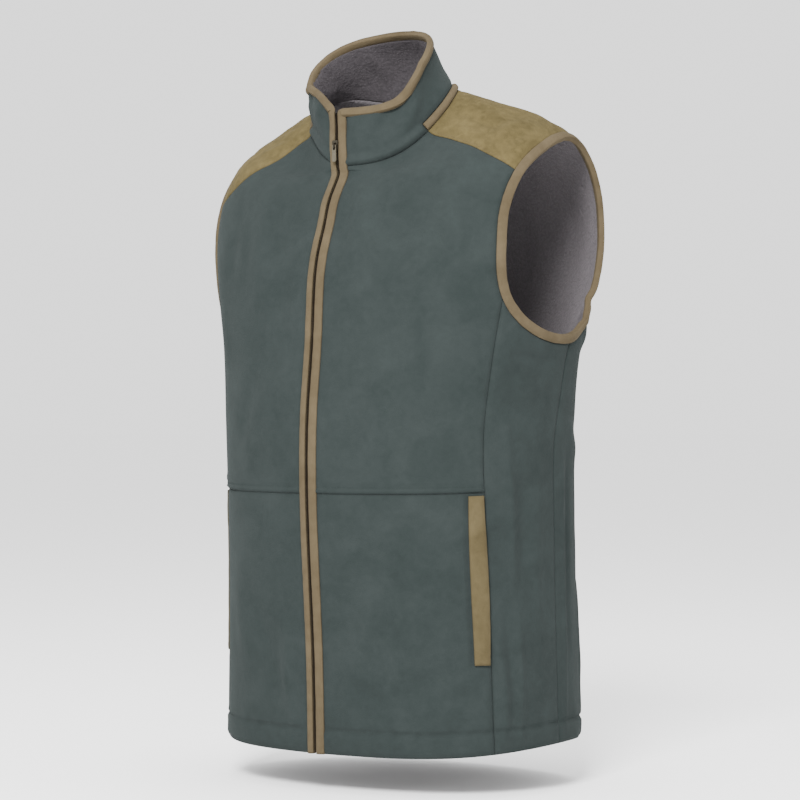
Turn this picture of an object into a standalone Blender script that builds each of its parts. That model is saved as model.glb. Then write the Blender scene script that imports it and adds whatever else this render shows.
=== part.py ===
"""Fleece gilet as worn, with no wearer inside: stand collar, zipped front, taped armholes, shoulder yokes.

Metres. The front faces -Y, the wearer's left is +X, up is +Z. The origin is on the middle plane, level
with the place where the shoulders meet the neck. Every cut piece is a wall of cloth laid out on one
surface, which is drawn through level rings from the hem to the collar's top edge.
"""
import bpy
import math
import numpy as np

for item in list(bpy.data.objects):
    bpy.data.objects.remove(item)

CLOTH = 0.0022          # thickness of the fleece
LINING_TOP = 0.0026     # depth of the lining's outer face under the fleece's outer face
LINING_BACK = 0.0043    # depth of the lining's inner face
SEAM_INSET = 0.00017    # each piece stops this short of its seam line
HEM_TURN = 0.0245       # depth of the turned-up hem
COLLAR_EDGE = 0.7865    # station where the collar's cloth ends under its edge tape
COLLAR_TOP = 0.7945     # station of the collar's finished top edge
ROLL_TOP = 0.7295       # station where the raised roll between yoke and collar ends
FRONT_EDGE = 0.0115     # half distance between the two front edges of the fleece
FACING_EDGE = 0.0168    # half distance between the two front edges of the lining
TAPE_INNER = 0.0023     # inner edge of the front edge tape, from the middle
TAPE_OUTER = 0.0112     # outer edge of the front edge tape, from the middle
TAPE_RISE = 0.0012      # how far the edge tapes stand proud of the fleece
ARM_TAPE_WIDTH = 0.0095
ZIP_TAPE_EDGE = 0.0163  # outer edge of the zip's woven tape, from the middle
SLIDER_STATION = 0.738
PULL_LENGTH = 0.016
WELT_RISE = 0.0034
ROLL_RISE = 0.0022
TAPE_CLEAR = 0.0002      # how far the collar's tape keeps off the collar beyond the seam's gap
NECK_STEPS = 5          # columns of each front that end on the neck seam
RELAX_STEPS = 400       # rounds of evening out the inner points of a panel
GIRTH_ROWS = 161        # levels of the table of distances round the garment

# Rings from the hem up. Station is the length along the cloth, half_width is in X, the rest in Y.
# square is how far the ring's corners fill out, in front and behind.
SECTIONS = (
    # name, station, half_width, y_side, y_front, y_back, square_front, square_back
    ("hem", 0.000, 0.1916, 0.0000, -0.1430, 0.1430, 0.020, 0.020),
    ("seat", 0.110, 0.1880, 0.0010, -0.1465, 0.1410, 0.020, 0.020),
    ("waist_seam", 0.259, 0.1850, 0.0020, -0.1560, 0.1380, 0.020, 0.020),
    ("ribs", 0.345, 0.1900, 0.0030, -0.1545, 0.1275, 0.020, 0.020),
    ("armpit", 0.410, 0.1950, 0.0050, -0.1480, 0.1305, 0.025, 0.030),
    ("blades", 0.500, 0.2095, 0.0140, -0.1415, 0.1330, 0.025, 0.060),
    ("shoulder_end", 0.590, 0.1965, 0.0140, -0.1250, 0.1150, 0.040, 0.060),
    ("shoulder_mid", 0.655, 0.1540, 0.0010, -0.1195, 0.0760, 0.030, 0.040),
    ("neck_foot", 0.705, 0.1020, -0.0290, -0.1070, 0.0435, 0.010, 0.010),
    ("neck_seam", 0.722, 0.0843, -0.0335, -0.1070, 0.0300, 0.000, 0.000),
    ("collar_foot", 0.735, 0.0760, -0.0400, -0.1085, 0.0280, 0.000, 0.000),
    ("collar_top", 0.795, 0.0712, -0.0605, -0.0955, -0.0060, 0.005, 0.000),
)
# The same rings' heights at five places round each side.
LIFTS = (
    # name, front, front_corner, side, back_corner, back
    ("hem", -0.6620, -0.6605, -0.6526, -0.6560, -0.6610),
    ("seat", -0.5520, -0.5520, -0.5520, -0.5520, -0.5520),
    ("waist_seam", -0.4040, -0.4030, -0.4010, -0.4035, -0.4030),
    ("ribs", -0.3170, -0.3180, -0.3170, -0.3160, -0.3170),
    ("armpit", -0.2560, -0.2530, -0.2520, -0.2520, -0.2525),
    ("blades", -0.1780, -0.1750, -0.1570, -0.1660, -0.1580),
    ("shoulder_end", -0.1270, -0.1070, -0.0615, -0.0765, -0.0910),
    ("shoulder_mid", -0.0980, -0.0775, -0.0300, -0.0360, -0.0435),
    ("neck_foot", -0.0820, -0.0735, -0.0190, -0.0050, -0.0065),
    ("neck_seam", -0.0775, -0.0660, -0.0160, 0.0048, -0.0030),
    ("collar_foot", -0.0610, -0.0498, -0.0075, 0.0164, 0.0145),
    ("collar_top", -0.0203, -0.0115, 0.0260, 0.0585, 0.0670),
)
WAIST = 0.259
NECK = 0.722
# Points on the surface are (angle, station): 0 degrees is the front middle, 90 the wearer's left side.
ARMHOLE = (
    # name, angle, station
    ("front_seam", 60.0, 0.451),
    ("front_low", 55.5, 0.486),
    ("front_mid", 54.2, 0.516),
    ("front_high", 54.5, 0.548),
    ("front_top", 58.2, 0.574),
    ("yoke_front", 63.5, 0.590),
    ("yoke_rise", 69.0, 0.599),
    ("yoke_mid", 79.8, 0.609),
    ("shoulder", 94.8, 0.616),
    ("shoulder_rear", 107.0, 0.612),
    ("yoke_back", 117.0, 0.600),
    ("back_top", 123.5, 0.576),
    ("back_high", 126.6, 0.546),
    ("back_mid", 126.8, 0.514),
    ("back_low", 124.0, 0.481),
    ("back_foot", 117.5, 0.444),
    ("bottom_rear", 108.0, 0.418),
    ("back_seam", 97.0, 0.408),
    ("bottom", 89.5, 0.407),
    ("bottom_mid", 79.8, 0.411),
    ("bottom_front", 70.0, 0.423),
)
FRONT_SEAM = ((60.5, 0.0), (60.3, 0.085), (59.8, 0.259), (58.6, 0.333), (59.2, 0.375), (60.6, 0.410),
              (60.0, 0.451))
BACK_SEAM = ((92.5, 0.0), (92.4, 0.100), (91.8, 0.259), (90.8, 0.315), (92.4, 0.345), (95.2, 0.385),
             (97.0, 0.408))
# The fleece has slipped a little on its figure, so the right yoke reaches further down the front.
YOKE_FRONT = {
    "left": ((68.5, 0.722), (66.0, 0.698), (61.3, 0.670), (58.8, 0.627), (63.5, 0.590)),
    "right": ((67.9, 0.722), (65.8, 0.7054), (58.6, 0.6894), (50.4, 0.664), (47.9, 0.638),
              (49.6, 0.605), (53.8, 0.583), (58.2, 0.5689)),
}
# Where the worn neck stands off its even shape: the collar is higher on the wearer's right, and its
# foot is drawn in there; the front falls in below the throat, and the collar's tips lean forward.
NECK_SHIFTS = (
    # name, angle, reach_back, reach_front, sharpness_front, station, reach_down, reach_up, move
    ("right_rise", -42.0, 33.0, 41.0, 1, 0.735, 0.036, 9.0, (0.0, 0.0, 0.021)),
    ("right_foot", -44.0, 46.0, 40.0, 2, 0.718, 0.045, 0.036, (0.0066, 0.0076, 0.0)),
    ("right_yoke", -68.0, 26.0, 30.0, 2, 0.722, 0.050, 0.040, (0.0, 0.0, 0.004)),
    ("throat", 0.0, 42.0, 42.0, 2, 0.668, 0.075, 0.050, (0.0, 0.008, 0.0)),
    ("tips", 0.0, 32.0, 32.0, 2, 0.795, 0.045, 9.0, (0.0, -0.011, 0.0)),
)
YOKE_BACK = ((128.0, 0.722), (126.5, 0.698), (122.5, 0.668), (119.0, 0.632), (117.0, 0.600))
WELT_CORNERS = {"top": 0.2565, "foot": 0.0915, "inner": 54.0, "outer": 59.4, "bow": 1.0}


def spline_bends(knots, values):
    """Second derivatives of the natural cubic spline through rows of values."""
    steps = np.diff(knots)
    count = len(knots)
    system = np.eye(count)
    right = np.zeros_like(values)
    for i in range(1, count - 1):
        system[i, i - 1:i + 2] = steps[i - 1], 2 * (steps[i - 1] + steps[i]), steps[i]
        rise = (values[i + 1] - values[i]) / steps[i]
        right[i] = 6 * (rise - (values[i] - values[i - 1]) / steps[i - 1])
    return np.linalg.solve(system, right)


def spline_read(knots, values, bends, place):
    """The spline's rows at any places between its first and last knot."""
    place = np.clip(np.asarray(place, float), knots[0], knots[-1])
    i = np.clip(np.searchsorted(knots, place, side="right") - 1, 0, len(knots) - 2)
    step = (knots[i + 1] - knots[i])[..., None]
    low = (knots[i + 1] - place)[..., None] / step
    high = 1 - low
    curve = (low**3 - low) * bends[i] + (high**3 - high) * bends[i + 1]
    return low * values[i] + high * values[i + 1] + curve * step**2 / 6


KNOTS = np.array([row[1] for row in SECTIONS])
RINGS = np.array([ring[2:] + lift[1:] for ring, lift in zip(SECTIONS, LIFTS)])
RING_BENDS = spline_bends(KNOTS, RINGS)
WAVES = np.linalg.inv(np.cos(np.outer(np.radians([0, 45, 90, 135, 180]), np.arange(5))))


def fade(share, power=2):
    """1 at the middle of a reach, 0 at its ends and beyond."""
    return (1 - np.clip(share, -1, 1)**2)**power


def neck_shift(angle, station):
    """How far the worn neck stands off its even shape."""
    around = (np.asarray(angle, float) + 180) % 360 - 180
    around, station = np.broadcast_arrays(around, np.asarray(station, float))
    total = np.zeros(around.shape + (3,))
    for _, middle, back, front, power, level, down, up, move in NECK_SHIFTS:
        off = around - middle
        across = np.where(off < 0, fade(off / back), fade(off / front, power))
        rise = station - level
        along = fade(rise / np.where(rise < 0, down, up))
        total += (across * along)[..., None] * np.array(move)
    return total


def surface(angle, station):
    """Points of the garment's outer surface at angles in degrees and stations in metres."""
    turn = np.radians(np.asarray(angle, float))
    ring = spline_read(KNOTS, RINGS, RING_BENDS, station)
    half, y_side, y_front, y_back, square_front, square_back = (ring[..., k] for k in range(6))
    square = square_front + (square_back - square_front) * (1 - np.cos(turn)) / 2
    x = half * (np.sin(turn) + square * np.sin(3 * turn)) / (1 - square)
    along = (np.cos(turn) - square * np.cos(3 * turn)) / (1 - square)
    y = y_side + np.where(along > 0, y_front - y_side, y_side - y_back) * along
    waves = ring[..., 6:11] @ WAVES.T
    z = sum(waves[..., k] * np.cos(k * turn) for k in range(5))
    return np.stack([x, y, z], axis=-1) + neck_shift(angle, station)


def unit(vectors):
    return vectors / np.linalg.norm(vectors, axis=-1, keepdims=True)


def outward(angle, station):
    """Unit normals that point out of the garment."""
    angle = np.asarray(angle, float)
    station = np.asarray(station, float)
    around = surface(angle + 0.01, station) - surface(angle - 0.01, station)
    up = surface(angle, station + 1e-4) - surface(angle, station - 1e-4)
    return unit(np.cross(around, up))


def place(chart, depth=0.0):
    """World points for (angle, station) pairs, at a depth under the outer surface."""
    chart = np.asarray(chart, float)
    points = surface(chart[..., 0], chart[..., 1])
    return points - outward(chart[..., 0], chart[..., 1]) * np.asarray(depth, float)[..., None]


def angle_at(x, station):
    """Angle near the front middle at which the surface has the given X."""
    station = np.asarray(station, float)
    angle = np.full(station.shape, 1.0) * np.degrees(x / 0.15)
    for _ in range(12):
        now = surface(angle, station)[..., 0]
        slope = (surface(angle + 0.01, station)[..., 0] - now) / 0.01
        angle = angle + (x - now) / slope
    return angle


def pairs(angle, station):
    return np.stack(np.broadcast_arrays(np.asarray(angle, float), np.asarray(station, float)), axis=-1)


def spaced(line, shares):
    """Points of a chart line at shares of its true length."""
    line = np.asarray(line, float)
    steps = np.linalg.norm(np.diff(place(line), axis=0), axis=-1)
    along = np.concatenate([[0], np.cumsum(steps)])
    wanted = np.asarray(shares, float) * along[-1]
    return np.stack([np.interp(wanted, along, line[:, k]) for k in range(2)], axis=-1)


def even(count):
    return np.linspace(0, 1, count + 1)


def smooth_line(points, samples=160):
    """A smooth chart line through a few chart points."""
    points = np.asarray(points, float)
    steps = np.linalg.norm(np.diff(place(points), axis=0), axis=-1)
    knots = np.concatenate([[0], np.cumsum(steps)])
    return spline_read(knots, points, spline_bends(knots, points), np.linspace(0, knots[-1], samples))


def armhole_sectors():
    """The closed armhole line, cut at its four seams into named chart lines."""
    names = [row[0] for row in ARMHOLE]
    points = np.array([row[1:] for row in ARMHOLE])
    count = len(points)
    tripled = np.concatenate([points, points, points, points[:1]])
    steps = np.linalg.norm(np.diff(place(tripled), axis=0), axis=-1)
    knots = np.concatenate([[0], np.cumsum(steps)])
    bends = spline_bends(knots, tripled)
    corners = {name: knots[count + names.index(name)] for name in names}
    loop = knots[2 * count] - knots[count]

    def cut(start, end):
        low = corners[start]
        high = corners[end] if corners[end] > low else corners[end] + loop
        return spline_read(knots, tripled, bends, np.linspace(low, high, 120))

    return {
        "front": cut("front_seam", "yoke_front"),
        "top": cut("yoke_front", "yoke_back"),
        "back": cut("yoke_back", "back_seam"),
        "bottom": cut("back_seam", "front_seam"),
    }


def armhole_lines(yoke_end):
    """Spaced points of an armhole's four lines; the front one ends where the yoke's seam does."""
    sectors = armhole_sectors()
    upper = join_lines(sectors["front"], sectors["top"])
    cut = int(np.argmin(np.linalg.norm(place(upper) - place(np.array(yoke_end)), axis=-1)))
    upper[cut] = yoke_end
    return {
        "front": spaced(upper[:cut + 1], even(7)),
        "top": spaced(upper[cut:], even(6)),
        "back": spaced(sectors["back"], even(7)),
        "bottom": spaced(sectors["bottom"], even(5)),
    }


LOW_ROWS = np.array([0.0, HEM_TURN, 0.085, 0.145, 0.205, WAIST])
UPPER_SHARES = np.array([0, 0.12, 0.24, 0.36, 0.475, 0.585, 0.69, 0.785, 0.87, 0.94, 1.0])
YOKE_SHARES = np.array([0.0, 0.12, 0.26, 0.44, 0.7, 1.0])
COLLAR_ROWS = np.array([NECK, ROLL_TOP, 0.742, 0.763, COLLAR_EDGE])


def seam_rows(points):
    """A side seam: its points at the low rows, then three even steps up to the armhole."""
    line = smooth_line(points)
    angles = np.interp(LOW_ROWS, line[:, 1], line[:, 0])
    upper = line[line[:, 1] > WAIST]
    upper = np.concatenate([[[angles[-1], WAIST]], upper])
    return pairs(angles, LOW_ROWS), spaced(upper, even(3))


def coons(bottom, top, left, right):
    """Chart grid between four chart lines that share their corners; rows go from bottom to top."""
    u = np.linspace(0, 1, len(bottom))[None, :, None]
    v = np.linspace(0, 1, len(left))[:, None, None]
    across = (1 - v) * bottom[None] + v * top[None]
    upward = (1 - u) * left[:, None] + u * right[:, None]
    corners = (1 - v) * ((1 - u) * bottom[0] + u * bottom[-1]) + v * ((1 - u) * top[0] + u * top[-1])
    return relaxed(across + upward - corners)


def girth_table():
    """Distances round the garment from its front middle, by whole degrees and level stations."""
    stations = np.linspace(0, KNOTS[-1], GIRTH_ROWS)
    ring = surface(np.arange(181)[None, :], stations[:, None])
    steps = np.linalg.norm(np.diff(ring, axis=1), axis=-1)
    return np.concatenate([np.zeros((GIRTH_ROWS, 1)), np.cumsum(steps, axis=1)], axis=1)


GIRTHS = girth_table()
DEGREES = np.arange(181)


def girth_rows(station):
    """Rows of the girth table between its levels."""
    place = np.clip(station / KNOTS[-1], 0, 1) * (GIRTH_ROWS - 1)
    low = np.minimum(place.astype(int), GIRTH_ROWS - 2)
    share = (place - low)[..., None]
    return GIRTHS[low] * (1 - share) + GIRTHS[low + 1] * share


def flattened(chart):
    """Chart points as (distance round the garment from its front middle, station)."""
    points = chart.reshape(-1, 2)
    rows = girth_rows(points[:, 1])
    around = np.array([np.interp(point[0], DEGREES, row) for point, row in zip(points, rows)])
    return np.stack([around, points[:, 1]], axis=-1).reshape(chart.shape)


def charted(flat):
    """The chart points of flattened ones."""
    points = flat.reshape(-1, 2)
    rows = girth_rows(points[:, 1])
    angles = np.array([np.interp(point[0], row, DEGREES) for point, row in zip(points, rows)])
    return np.stack([angles, points[:, 1]], axis=-1).reshape(flat.shape)


def relaxed(grid):
    """Evens out a chart grid's inner points as they lie on the cloth, so that its cells never fold over."""
    flat = flattened(grid)
    for _ in range(RELAX_STEPS):
        across = flat[1:-1, 2:] - flat[1:-1, :-2]
        upward = flat[2:, 1:-1] - flat[:-2, 1:-1]
        wide = (across**2).sum(axis=-1, keepdims=True)
        tall = (upward**2).sum(axis=-1, keepdims=True)
        skew = (across * upward).sum(axis=-1, keepdims=True)
        twist = flat[2:, 2:] - flat[2:, :-2] - flat[:-2, 2:] + flat[:-2, :-2]
        beside = tall * (flat[1:-1, 2:] + flat[1:-1, :-2])
        above = wide * (flat[2:, 1:-1] + flat[:-2, 1:-1])
        flat[1:-1, 1:-1] = (beside + above - skew * twist / 2) / (2 * (wide + tall))
    even_grid = grid.copy()
    even_grid[1:-1, 1:-1] = charted(flat[1:-1, 1:-1])
    return even_grid


def join_lines(*lines):
    """Chart lines end to end, each shared corner once."""
    return np.concatenate([lines[0]] + [line[1:] for line in lines[1:]])


def front_block(front_low, front_up, yoke_front, arm):
    """Chart grid of a front from the lining's edge to the side seam, and the strip up to the front edge."""
    rows_up = WAIST + (NECK - WAIST) * UPPER_SHARES
    edge_low = pairs(angle_at(FACING_EDGE, LOW_ROWS), LOW_ROWS)
    edge_up = pairs(angle_at(FACING_EDGE, rows_up), rows_up)
    neck = spaced(pairs(np.linspace(edge_up[-1, 0], yoke_front[0, 0], 60), NECK), even(NECK_STEPS))
    columns = len(neck) + len(yoke_front) - 1
    share = np.linspace(0, 1, columns)[None, :, None]
    low = edge_low[:, None] * (1 - share) + front_low[:, None] * share
    up = coons(low[-1], join_lines(neck, yoke_front), edge_up, join_lines(front_up, arm["front"]))
    grid = np.concatenate([low, up[1:]])
    stations = grid[:, 0, 1]
    strip = pairs(angle_at(FRONT_EDGE, stations), stations)
    return np.concatenate([strip[:, None], grid], axis=1)


def side_block(front_low, front_up, back_low, back_up, arm):
    share = np.linspace(0, 1, len(arm["bottom"]))[None, :, None]
    low = front_low[:, None] * (1 - share) + back_low[:, None] * share
    up = coons(low[-1], arm["bottom"][::-1], front_up, back_up)
    return np.concatenate([low, up[1:]])


def back_block(back_low, back_up, yoke_back, arm):
    """Half of the back, from the side seam to the middle."""
    rows_up = WAIST + (NECK - WAIST) * UPPER_SHARES
    neck = spaced(pairs(np.linspace(yoke_back[0, 0], 180, 60), NECK), even(4))
    top = join_lines(yoke_back[::-1], neck)
    share = np.linspace(0, 1, len(top))[None, :, None]
    middle_low = pairs(180.0, LOW_ROWS)
    low = back_low[:, None] * (1 - share) + middle_low[:, None] * share
    up = coons(low[-1], top, join_lines(back_up, arm["back"][::-1]), pairs(180.0, rows_up))
    return np.concatenate([low, up[1:]])


def yoke_block(yoke_front, yoke_back, arm):
    """From the front yoke seam to the back one; the first column lies on the neck seam."""
    neck = spaced(pairs(np.linspace(yoke_front[0, 0], yoke_back[0, 0], 60), NECK), even(6))
    return coons(yoke_front, yoke_back, neck, arm["top"])


def yoke_seam(points):
    return spaced(smooth_line(points), YOKE_SHARES)


def side_blocks(label):
    """Chart grids of one half of the garment, laid out as on the wearer's left."""
    arm = armhole_lines(YOKE_FRONT[label][-1])
    front_low, front_up = seam_rows(FRONT_SEAM)
    back_low, back_up = seam_rows(BACK_SEAM)
    yoke_front = yoke_seam(YOKE_FRONT[label])
    yoke_back = yoke_seam(YOKE_BACK)
    blocks = {
        "front": front_block(front_low, front_up, yoke_front, arm),
        "side": side_block(front_low, front_up, back_low, back_up, arm),
        "back": back_block(back_low, back_up, yoke_back, arm),
        "yoke": yoke_block(yoke_front, yoke_back, arm),
    }
    blocks["collar"] = collar_block(blocks)
    blocks["armhole"] = join_lines(arm["front"], arm["top"], arm["back"], arm["bottom"])[:-1]
    return blocks


def collar_block(blocks):
    """Half of the collar, from the front edge to the back middle."""
    neck = join_lines(blocks["front"][-1, :NECK_STEPS + 2], blocks["yoke"][:, 0], blocks["back"][-1, 5:])
    angles = np.repeat(neck[None, :, 0], len(COLLAR_ROWS), axis=0)
    for column, x in ((0, FRONT_EDGE), (1, FACING_EDGE)):
        angles[:, column] = angle_at(x, COLLAR_ROWS)
    return pairs(angles, COLLAR_ROWS[:, None])


def mirrored(grid):
    """The same grid on the wearer's right, with its columns turned round."""
    return (grid * np.array([-1.0, 1.0]))[:, ::-1]


def new_object(name, points, faces, material, smooth=True):
    mesh = bpy.data.meshes.new(name)
    mesh.from_pydata([tuple(float(c) for c in p) for p in points], [], [tuple(f) for f in faces])
    mesh.materials.append(material)
    for polygon in mesh.polygons:
        polygon.use_smooth = smooth
    mesh.update()
    piece = bpy.data.objects.new(name, mesh)
    bpy.context.scene.collection.objects.link(piece)
    return piece


def welded(grids):
    """Unlike chart points of several grids, and the quads between them."""
    index = {}
    charts = []
    quads = []
    for grid in grids:
        world = place(grid)
        keys = np.zeros(grid.shape[:2], int)
        for r in range(grid.shape[0]):
            for c in range(grid.shape[1]):
                key = tuple(int(round(value * 5e4)) for value in world[r, c])
                if key not in index:
                    index[key] = len(charts)
                    charts.append(grid[r, c])
                keys[r, c] = index[key]
        for r in range(grid.shape[0] - 1):
            for c in range(grid.shape[1] - 1):
                quads.append((keys[r, c], keys[r, c + 1], keys[r + 1, c + 1], keys[r + 1, c]))
    return np.array(charts), quads


def rim_edges(quads):
    """Directed edges that belong to one quad only."""
    seen = {}
    for quad in quads:
        for a, b in zip(quad, quad[1:] + quad[:1]):
            seen[(a, b)] = (b, a) not in seen
            if (b, a) in seen:
                seen[(b, a)] = False
    return [edge for edge, single in seen.items() if single]


def wall(name, grids, material, outer=0.0, inner=CLOTH, crown=0.0):
    """A closed wall of cloth over chart grids, between two depths, short of its seam lines."""
    charts, quads = welded(grids)
    points = place(charts)
    normals = outward(charts[:, 0], charts[:, 1])
    edges = rim_edges(quads)
    pull = {}
    for a, b in edges:
        along = unit(points[b] - points[a])
        for end in (a, b):
            pull.setdefault(end, []).append(unit(np.cross(normals[end], along)))
    for end, ways in pull.items():
        total = np.sum(ways, axis=0)
        points[end] += SEAM_INSET * total * len(ways) / max(np.dot(total, total), 0.5)
    count = len(points)
    depth = np.full(count, float(outer))
    if crown:
        depth[[i for i in range(count) if i not in pull]] = -crown
    top = points - normals * depth[:, None]
    bottom = points - normals * inner
    faces = []
    for a, b, c, d in quads:
        faces += [(a, b, c), (a, c, d)]
        faces += [(c + count, b + count, a + count), (d + count, c + count, a + count)]
    for a, b in edges:
        if np.linalg.norm(top[a] - bottom[b]) < np.linalg.norm(top[b] - bottom[a]):
            faces += [(b, a, b + count), (a, a + count, b + count)]
        else:
            faces += [(b, a, a + count), (b, a + count, b + count)]
    return new_object(name, np.concatenate([top, bottom]), faces, material)


def bar(name, rings, material, closed=False, smooth=True):
    """A closed solid through rings of points; an open one gets end caps."""
    rings = np.asarray(rings, float)
    count, sides = rings.shape[:2]
    faces = []
    for r in range(count if closed else count - 1):
        here = r * sides
        there = ((r + 1) % count) * sides
        for k in range(sides):
            after = (k + 1) % sides
            faces.append((here + k, here + after, there + after, there + k))
    if not closed:
        faces.append(tuple(range(sides))[::-1])
        faces.append(tuple((count - 1) * sides + k for k in range(sides)))
    piece = new_object(name, rings.reshape(-1, 3), faces, material, smooth)
    volume = signed_volume(piece.data)
    if volume < 0:
        piece.data.flip_normals()
    return piece


def signed_volume(mesh):
    mesh.calc_loop_triangles()
    points = np.array([vertex.co[:] for vertex in mesh.vertices])
    corners = points[[triangle.vertices[:] for triangle in mesh.loop_triangles]]
    return float(np.einsum("ij,ij->i", corners[:, 0], np.cross(corners[:, 1], corners[:, 2])).sum() / 6)


def cloth_material(name, colour, roughness):
    material = bpy.data.materials.new(name)
    material.use_nodes = True
    shader = material.node_tree.nodes["Principled BSDF"]
    shader.inputs["Base Color"].default_value = (*colour, 1.0)
    shader.inputs["Roughness"].default_value = roughness
    shader.inputs["Metallic"].default_value = 0.0
    material.diffuse_color = (*colour, 1.0)
    return material


def metal_material(name, colour):
    material = cloth_material(name, colour, 0.35)
    material.node_tree.nodes["Principled BSDF"].inputs["Metallic"].default_value = 0.8
    return material


def edge_stations(start, end):
    """Stations along the front edge, on the rows of the fronts and of the collar."""
    rows = np.concatenate([BLOCKS["left"]["front"][:, 0, 1], COLLAR_ROWS[1:]])
    inside = rows[(rows > start + 0.004) & (rows < end - 0.004)]
    return np.concatenate([[start], inside, [end]])


def front_profile_bar(name, profile, start, end, side, material):
    """A strip beside the zip; profile points are (distance from the middle, depth)."""
    stations = edge_stations(start, end)
    rings = []
    for station in stations:
        ring = []
        for x, depth in profile:
            angle = side * angle_at(x, np.array([station]))
            ring.append(place(pairs(angle, [station]), np.array([depth]))[0])
        rings.append(ring)
    return bar(name, rings, material)


def build_front_tape(name, side, material):
    low = CLOTH
    mid = (TAPE_INNER + TAPE_OUTER) / 2
    profile = ((TAPE_INNER, low), (TAPE_INNER, -0.0003), (TAPE_INNER + 0.0018, -TAPE_RISE),
               (mid, -TAPE_RISE - 0.0002), (TAPE_OUTER - 0.0018, -TAPE_RISE + 0.0001),
               (TAPE_OUTER, -0.0002), (TAPE_OUTER, low))
    front_profile_bar(name, profile, 0.0003, COLLAR_TOP, side, material)


def build_zip_side(name, side, material):
    """One side of the zip: woven tape with its row of teeth as a bead."""
    profile = ((0.00017, 0.0040), (0.00017, 0.0018), (0.0009, 0.0015), (0.0019, 0.0018),
               (0.0020, 0.0027), (ZIP_TAPE_EDGE, 0.0027), (ZIP_TAPE_EDGE, 0.0034), (0.0020, 0.0034),
               (0.0018, 0.0040))
    front_profile_bar(name, profile, 0.004, COLLAR_EDGE - 0.002, side, material)


def build_collar_tape(material):
    """The tape folded over the collar's top edge, from front edge to front edge."""
    rows = np.array([COLLAR_EDGE + TAPE_CLEAR, COLLAR_EDGE + 0.0028, COLLAR_TOP - 0.0022, COLLAR_TOP])
    grids = []
    for label, blocks in BLOCKS.items():
        angles = np.repeat(blocks["collar"][-1:, :, 0], len(rows), axis=0)
        angles[:, 0] = angle_at(FRONT_EDGE, rows)
        grids.append(turned(label, pairs(angles, rows[:, None])))
    wall("collar_edge_tape", grids, material, -0.0003, LINING_BACK + 0.0007, crown=TAPE_RISE)


def build_arm_tape(name, label, material):
    """The tape round an armhole, folded over the edge of fleece and lining."""
    side = 1 if label == "left" else -1
    loop = BLOCKS[label]["armhole"]
    points = place(loop)
    normals = outward(loop[:, 0], loop[:, 1])
    along = unit(np.roll(points, -1, axis=0) - np.roll(points, 1, axis=0))
    inward = unit(np.cross(along, normals))
    if np.dot(inward[0], points.mean(axis=0) - points[0]) < 0:
        inward = -inward
    width = ARM_TAPE_WIDTH
    back = LINING_BACK
    profile = ((0.0002, -0.0003), (0.0020, -TAPE_RISE), (width - 0.0026, -TAPE_RISE),
               (width, 0.0006), (width, back - 0.0008), (width - 0.0026, back + 0.0009),
               (0.0020, back + 0.0009), (0.0002, back))
    rings = np.array([[p + w * i - d * n for w, d in profile] for p, i, n in zip(points, inward, normals)])
    rings = rings * np.array([side, 1.0, 1.0])
    bar(name, rings, material, closed=True)


def build_welt(name, side, material):
    """The pocket's welt: a flat padded strip beside the side seam, its free edge bowed."""
    rows = np.linspace(WELT_CORNERS["foot"], WELT_CORNERS["top"], 9)
    lift = np.sin(np.pi * np.clip((WELT_CORNERS["top"] - rows) / (WELT_CORNERS["top"] - 0.075), 0, 1))
    outer = WELT_CORNERS["outer"] + WELT_CORNERS["bow"] * (lift - 0.45)
    inner = np.full_like(rows, WELT_CORNERS["inner"])
    share = np.linspace(0, 1, 4)[None, :]
    angles = inner[:, None] * (1 - share) + outer[:, None] * share
    grid = pairs(angles, rows[:, None])
    if side < 0:
        grid = mirrored(grid)
    wall(name, [grid], material, outer=-0.0022, inner=-0.0004, crown=WELT_RISE)


def slider_frame():
    """The slider's place on the surface: its point, and the ways across, up and out."""
    at = np.array([SLIDER_STATION])
    zero = np.array([0.0])
    point = surface(zero, at)[0]
    out = outward(zero, at)[0]
    across = np.array([1.0, 0.0, 0.0])
    up = np.cross(out, across)
    if up[2] < 0:
        up = -up
    return point, across, up, out


def local_prism(name, outline, low, high, axis, material):
    """A prism in the slider's frame; outline points are pairs in the plane across the axis."""
    point, across, up, out = slider_frame()
    rings = []
    for level in (low, high):
        ring = []
        for a, b in outline:
            if axis == "across":
                ring.append(point + across * level + up * a + out * b)
            else:
                ring.append(point + across * a + up * b + out * level)
        rings.append(ring)
    return bar(name, rings, material, smooth=False)


def joined(base, tools, name):
    """One solid from several that overlap."""
    for tool in tools:
        modifier = base.modifiers.new("join", "BOOLEAN")
        modifier.operation = "UNION"
        modifier.solver = "EXACT"
        modifier.object = tool
    mesh = bpy.data.meshes.new_from_object(base.evaluated_get(bpy.context.evaluated_depsgraph_get()))
    base.modifiers.clear()
    base.data = mesh
    base.name = name
    mesh.name = name
    for tool in tools:
        bpy.data.objects.remove(tool)
    return base


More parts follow.
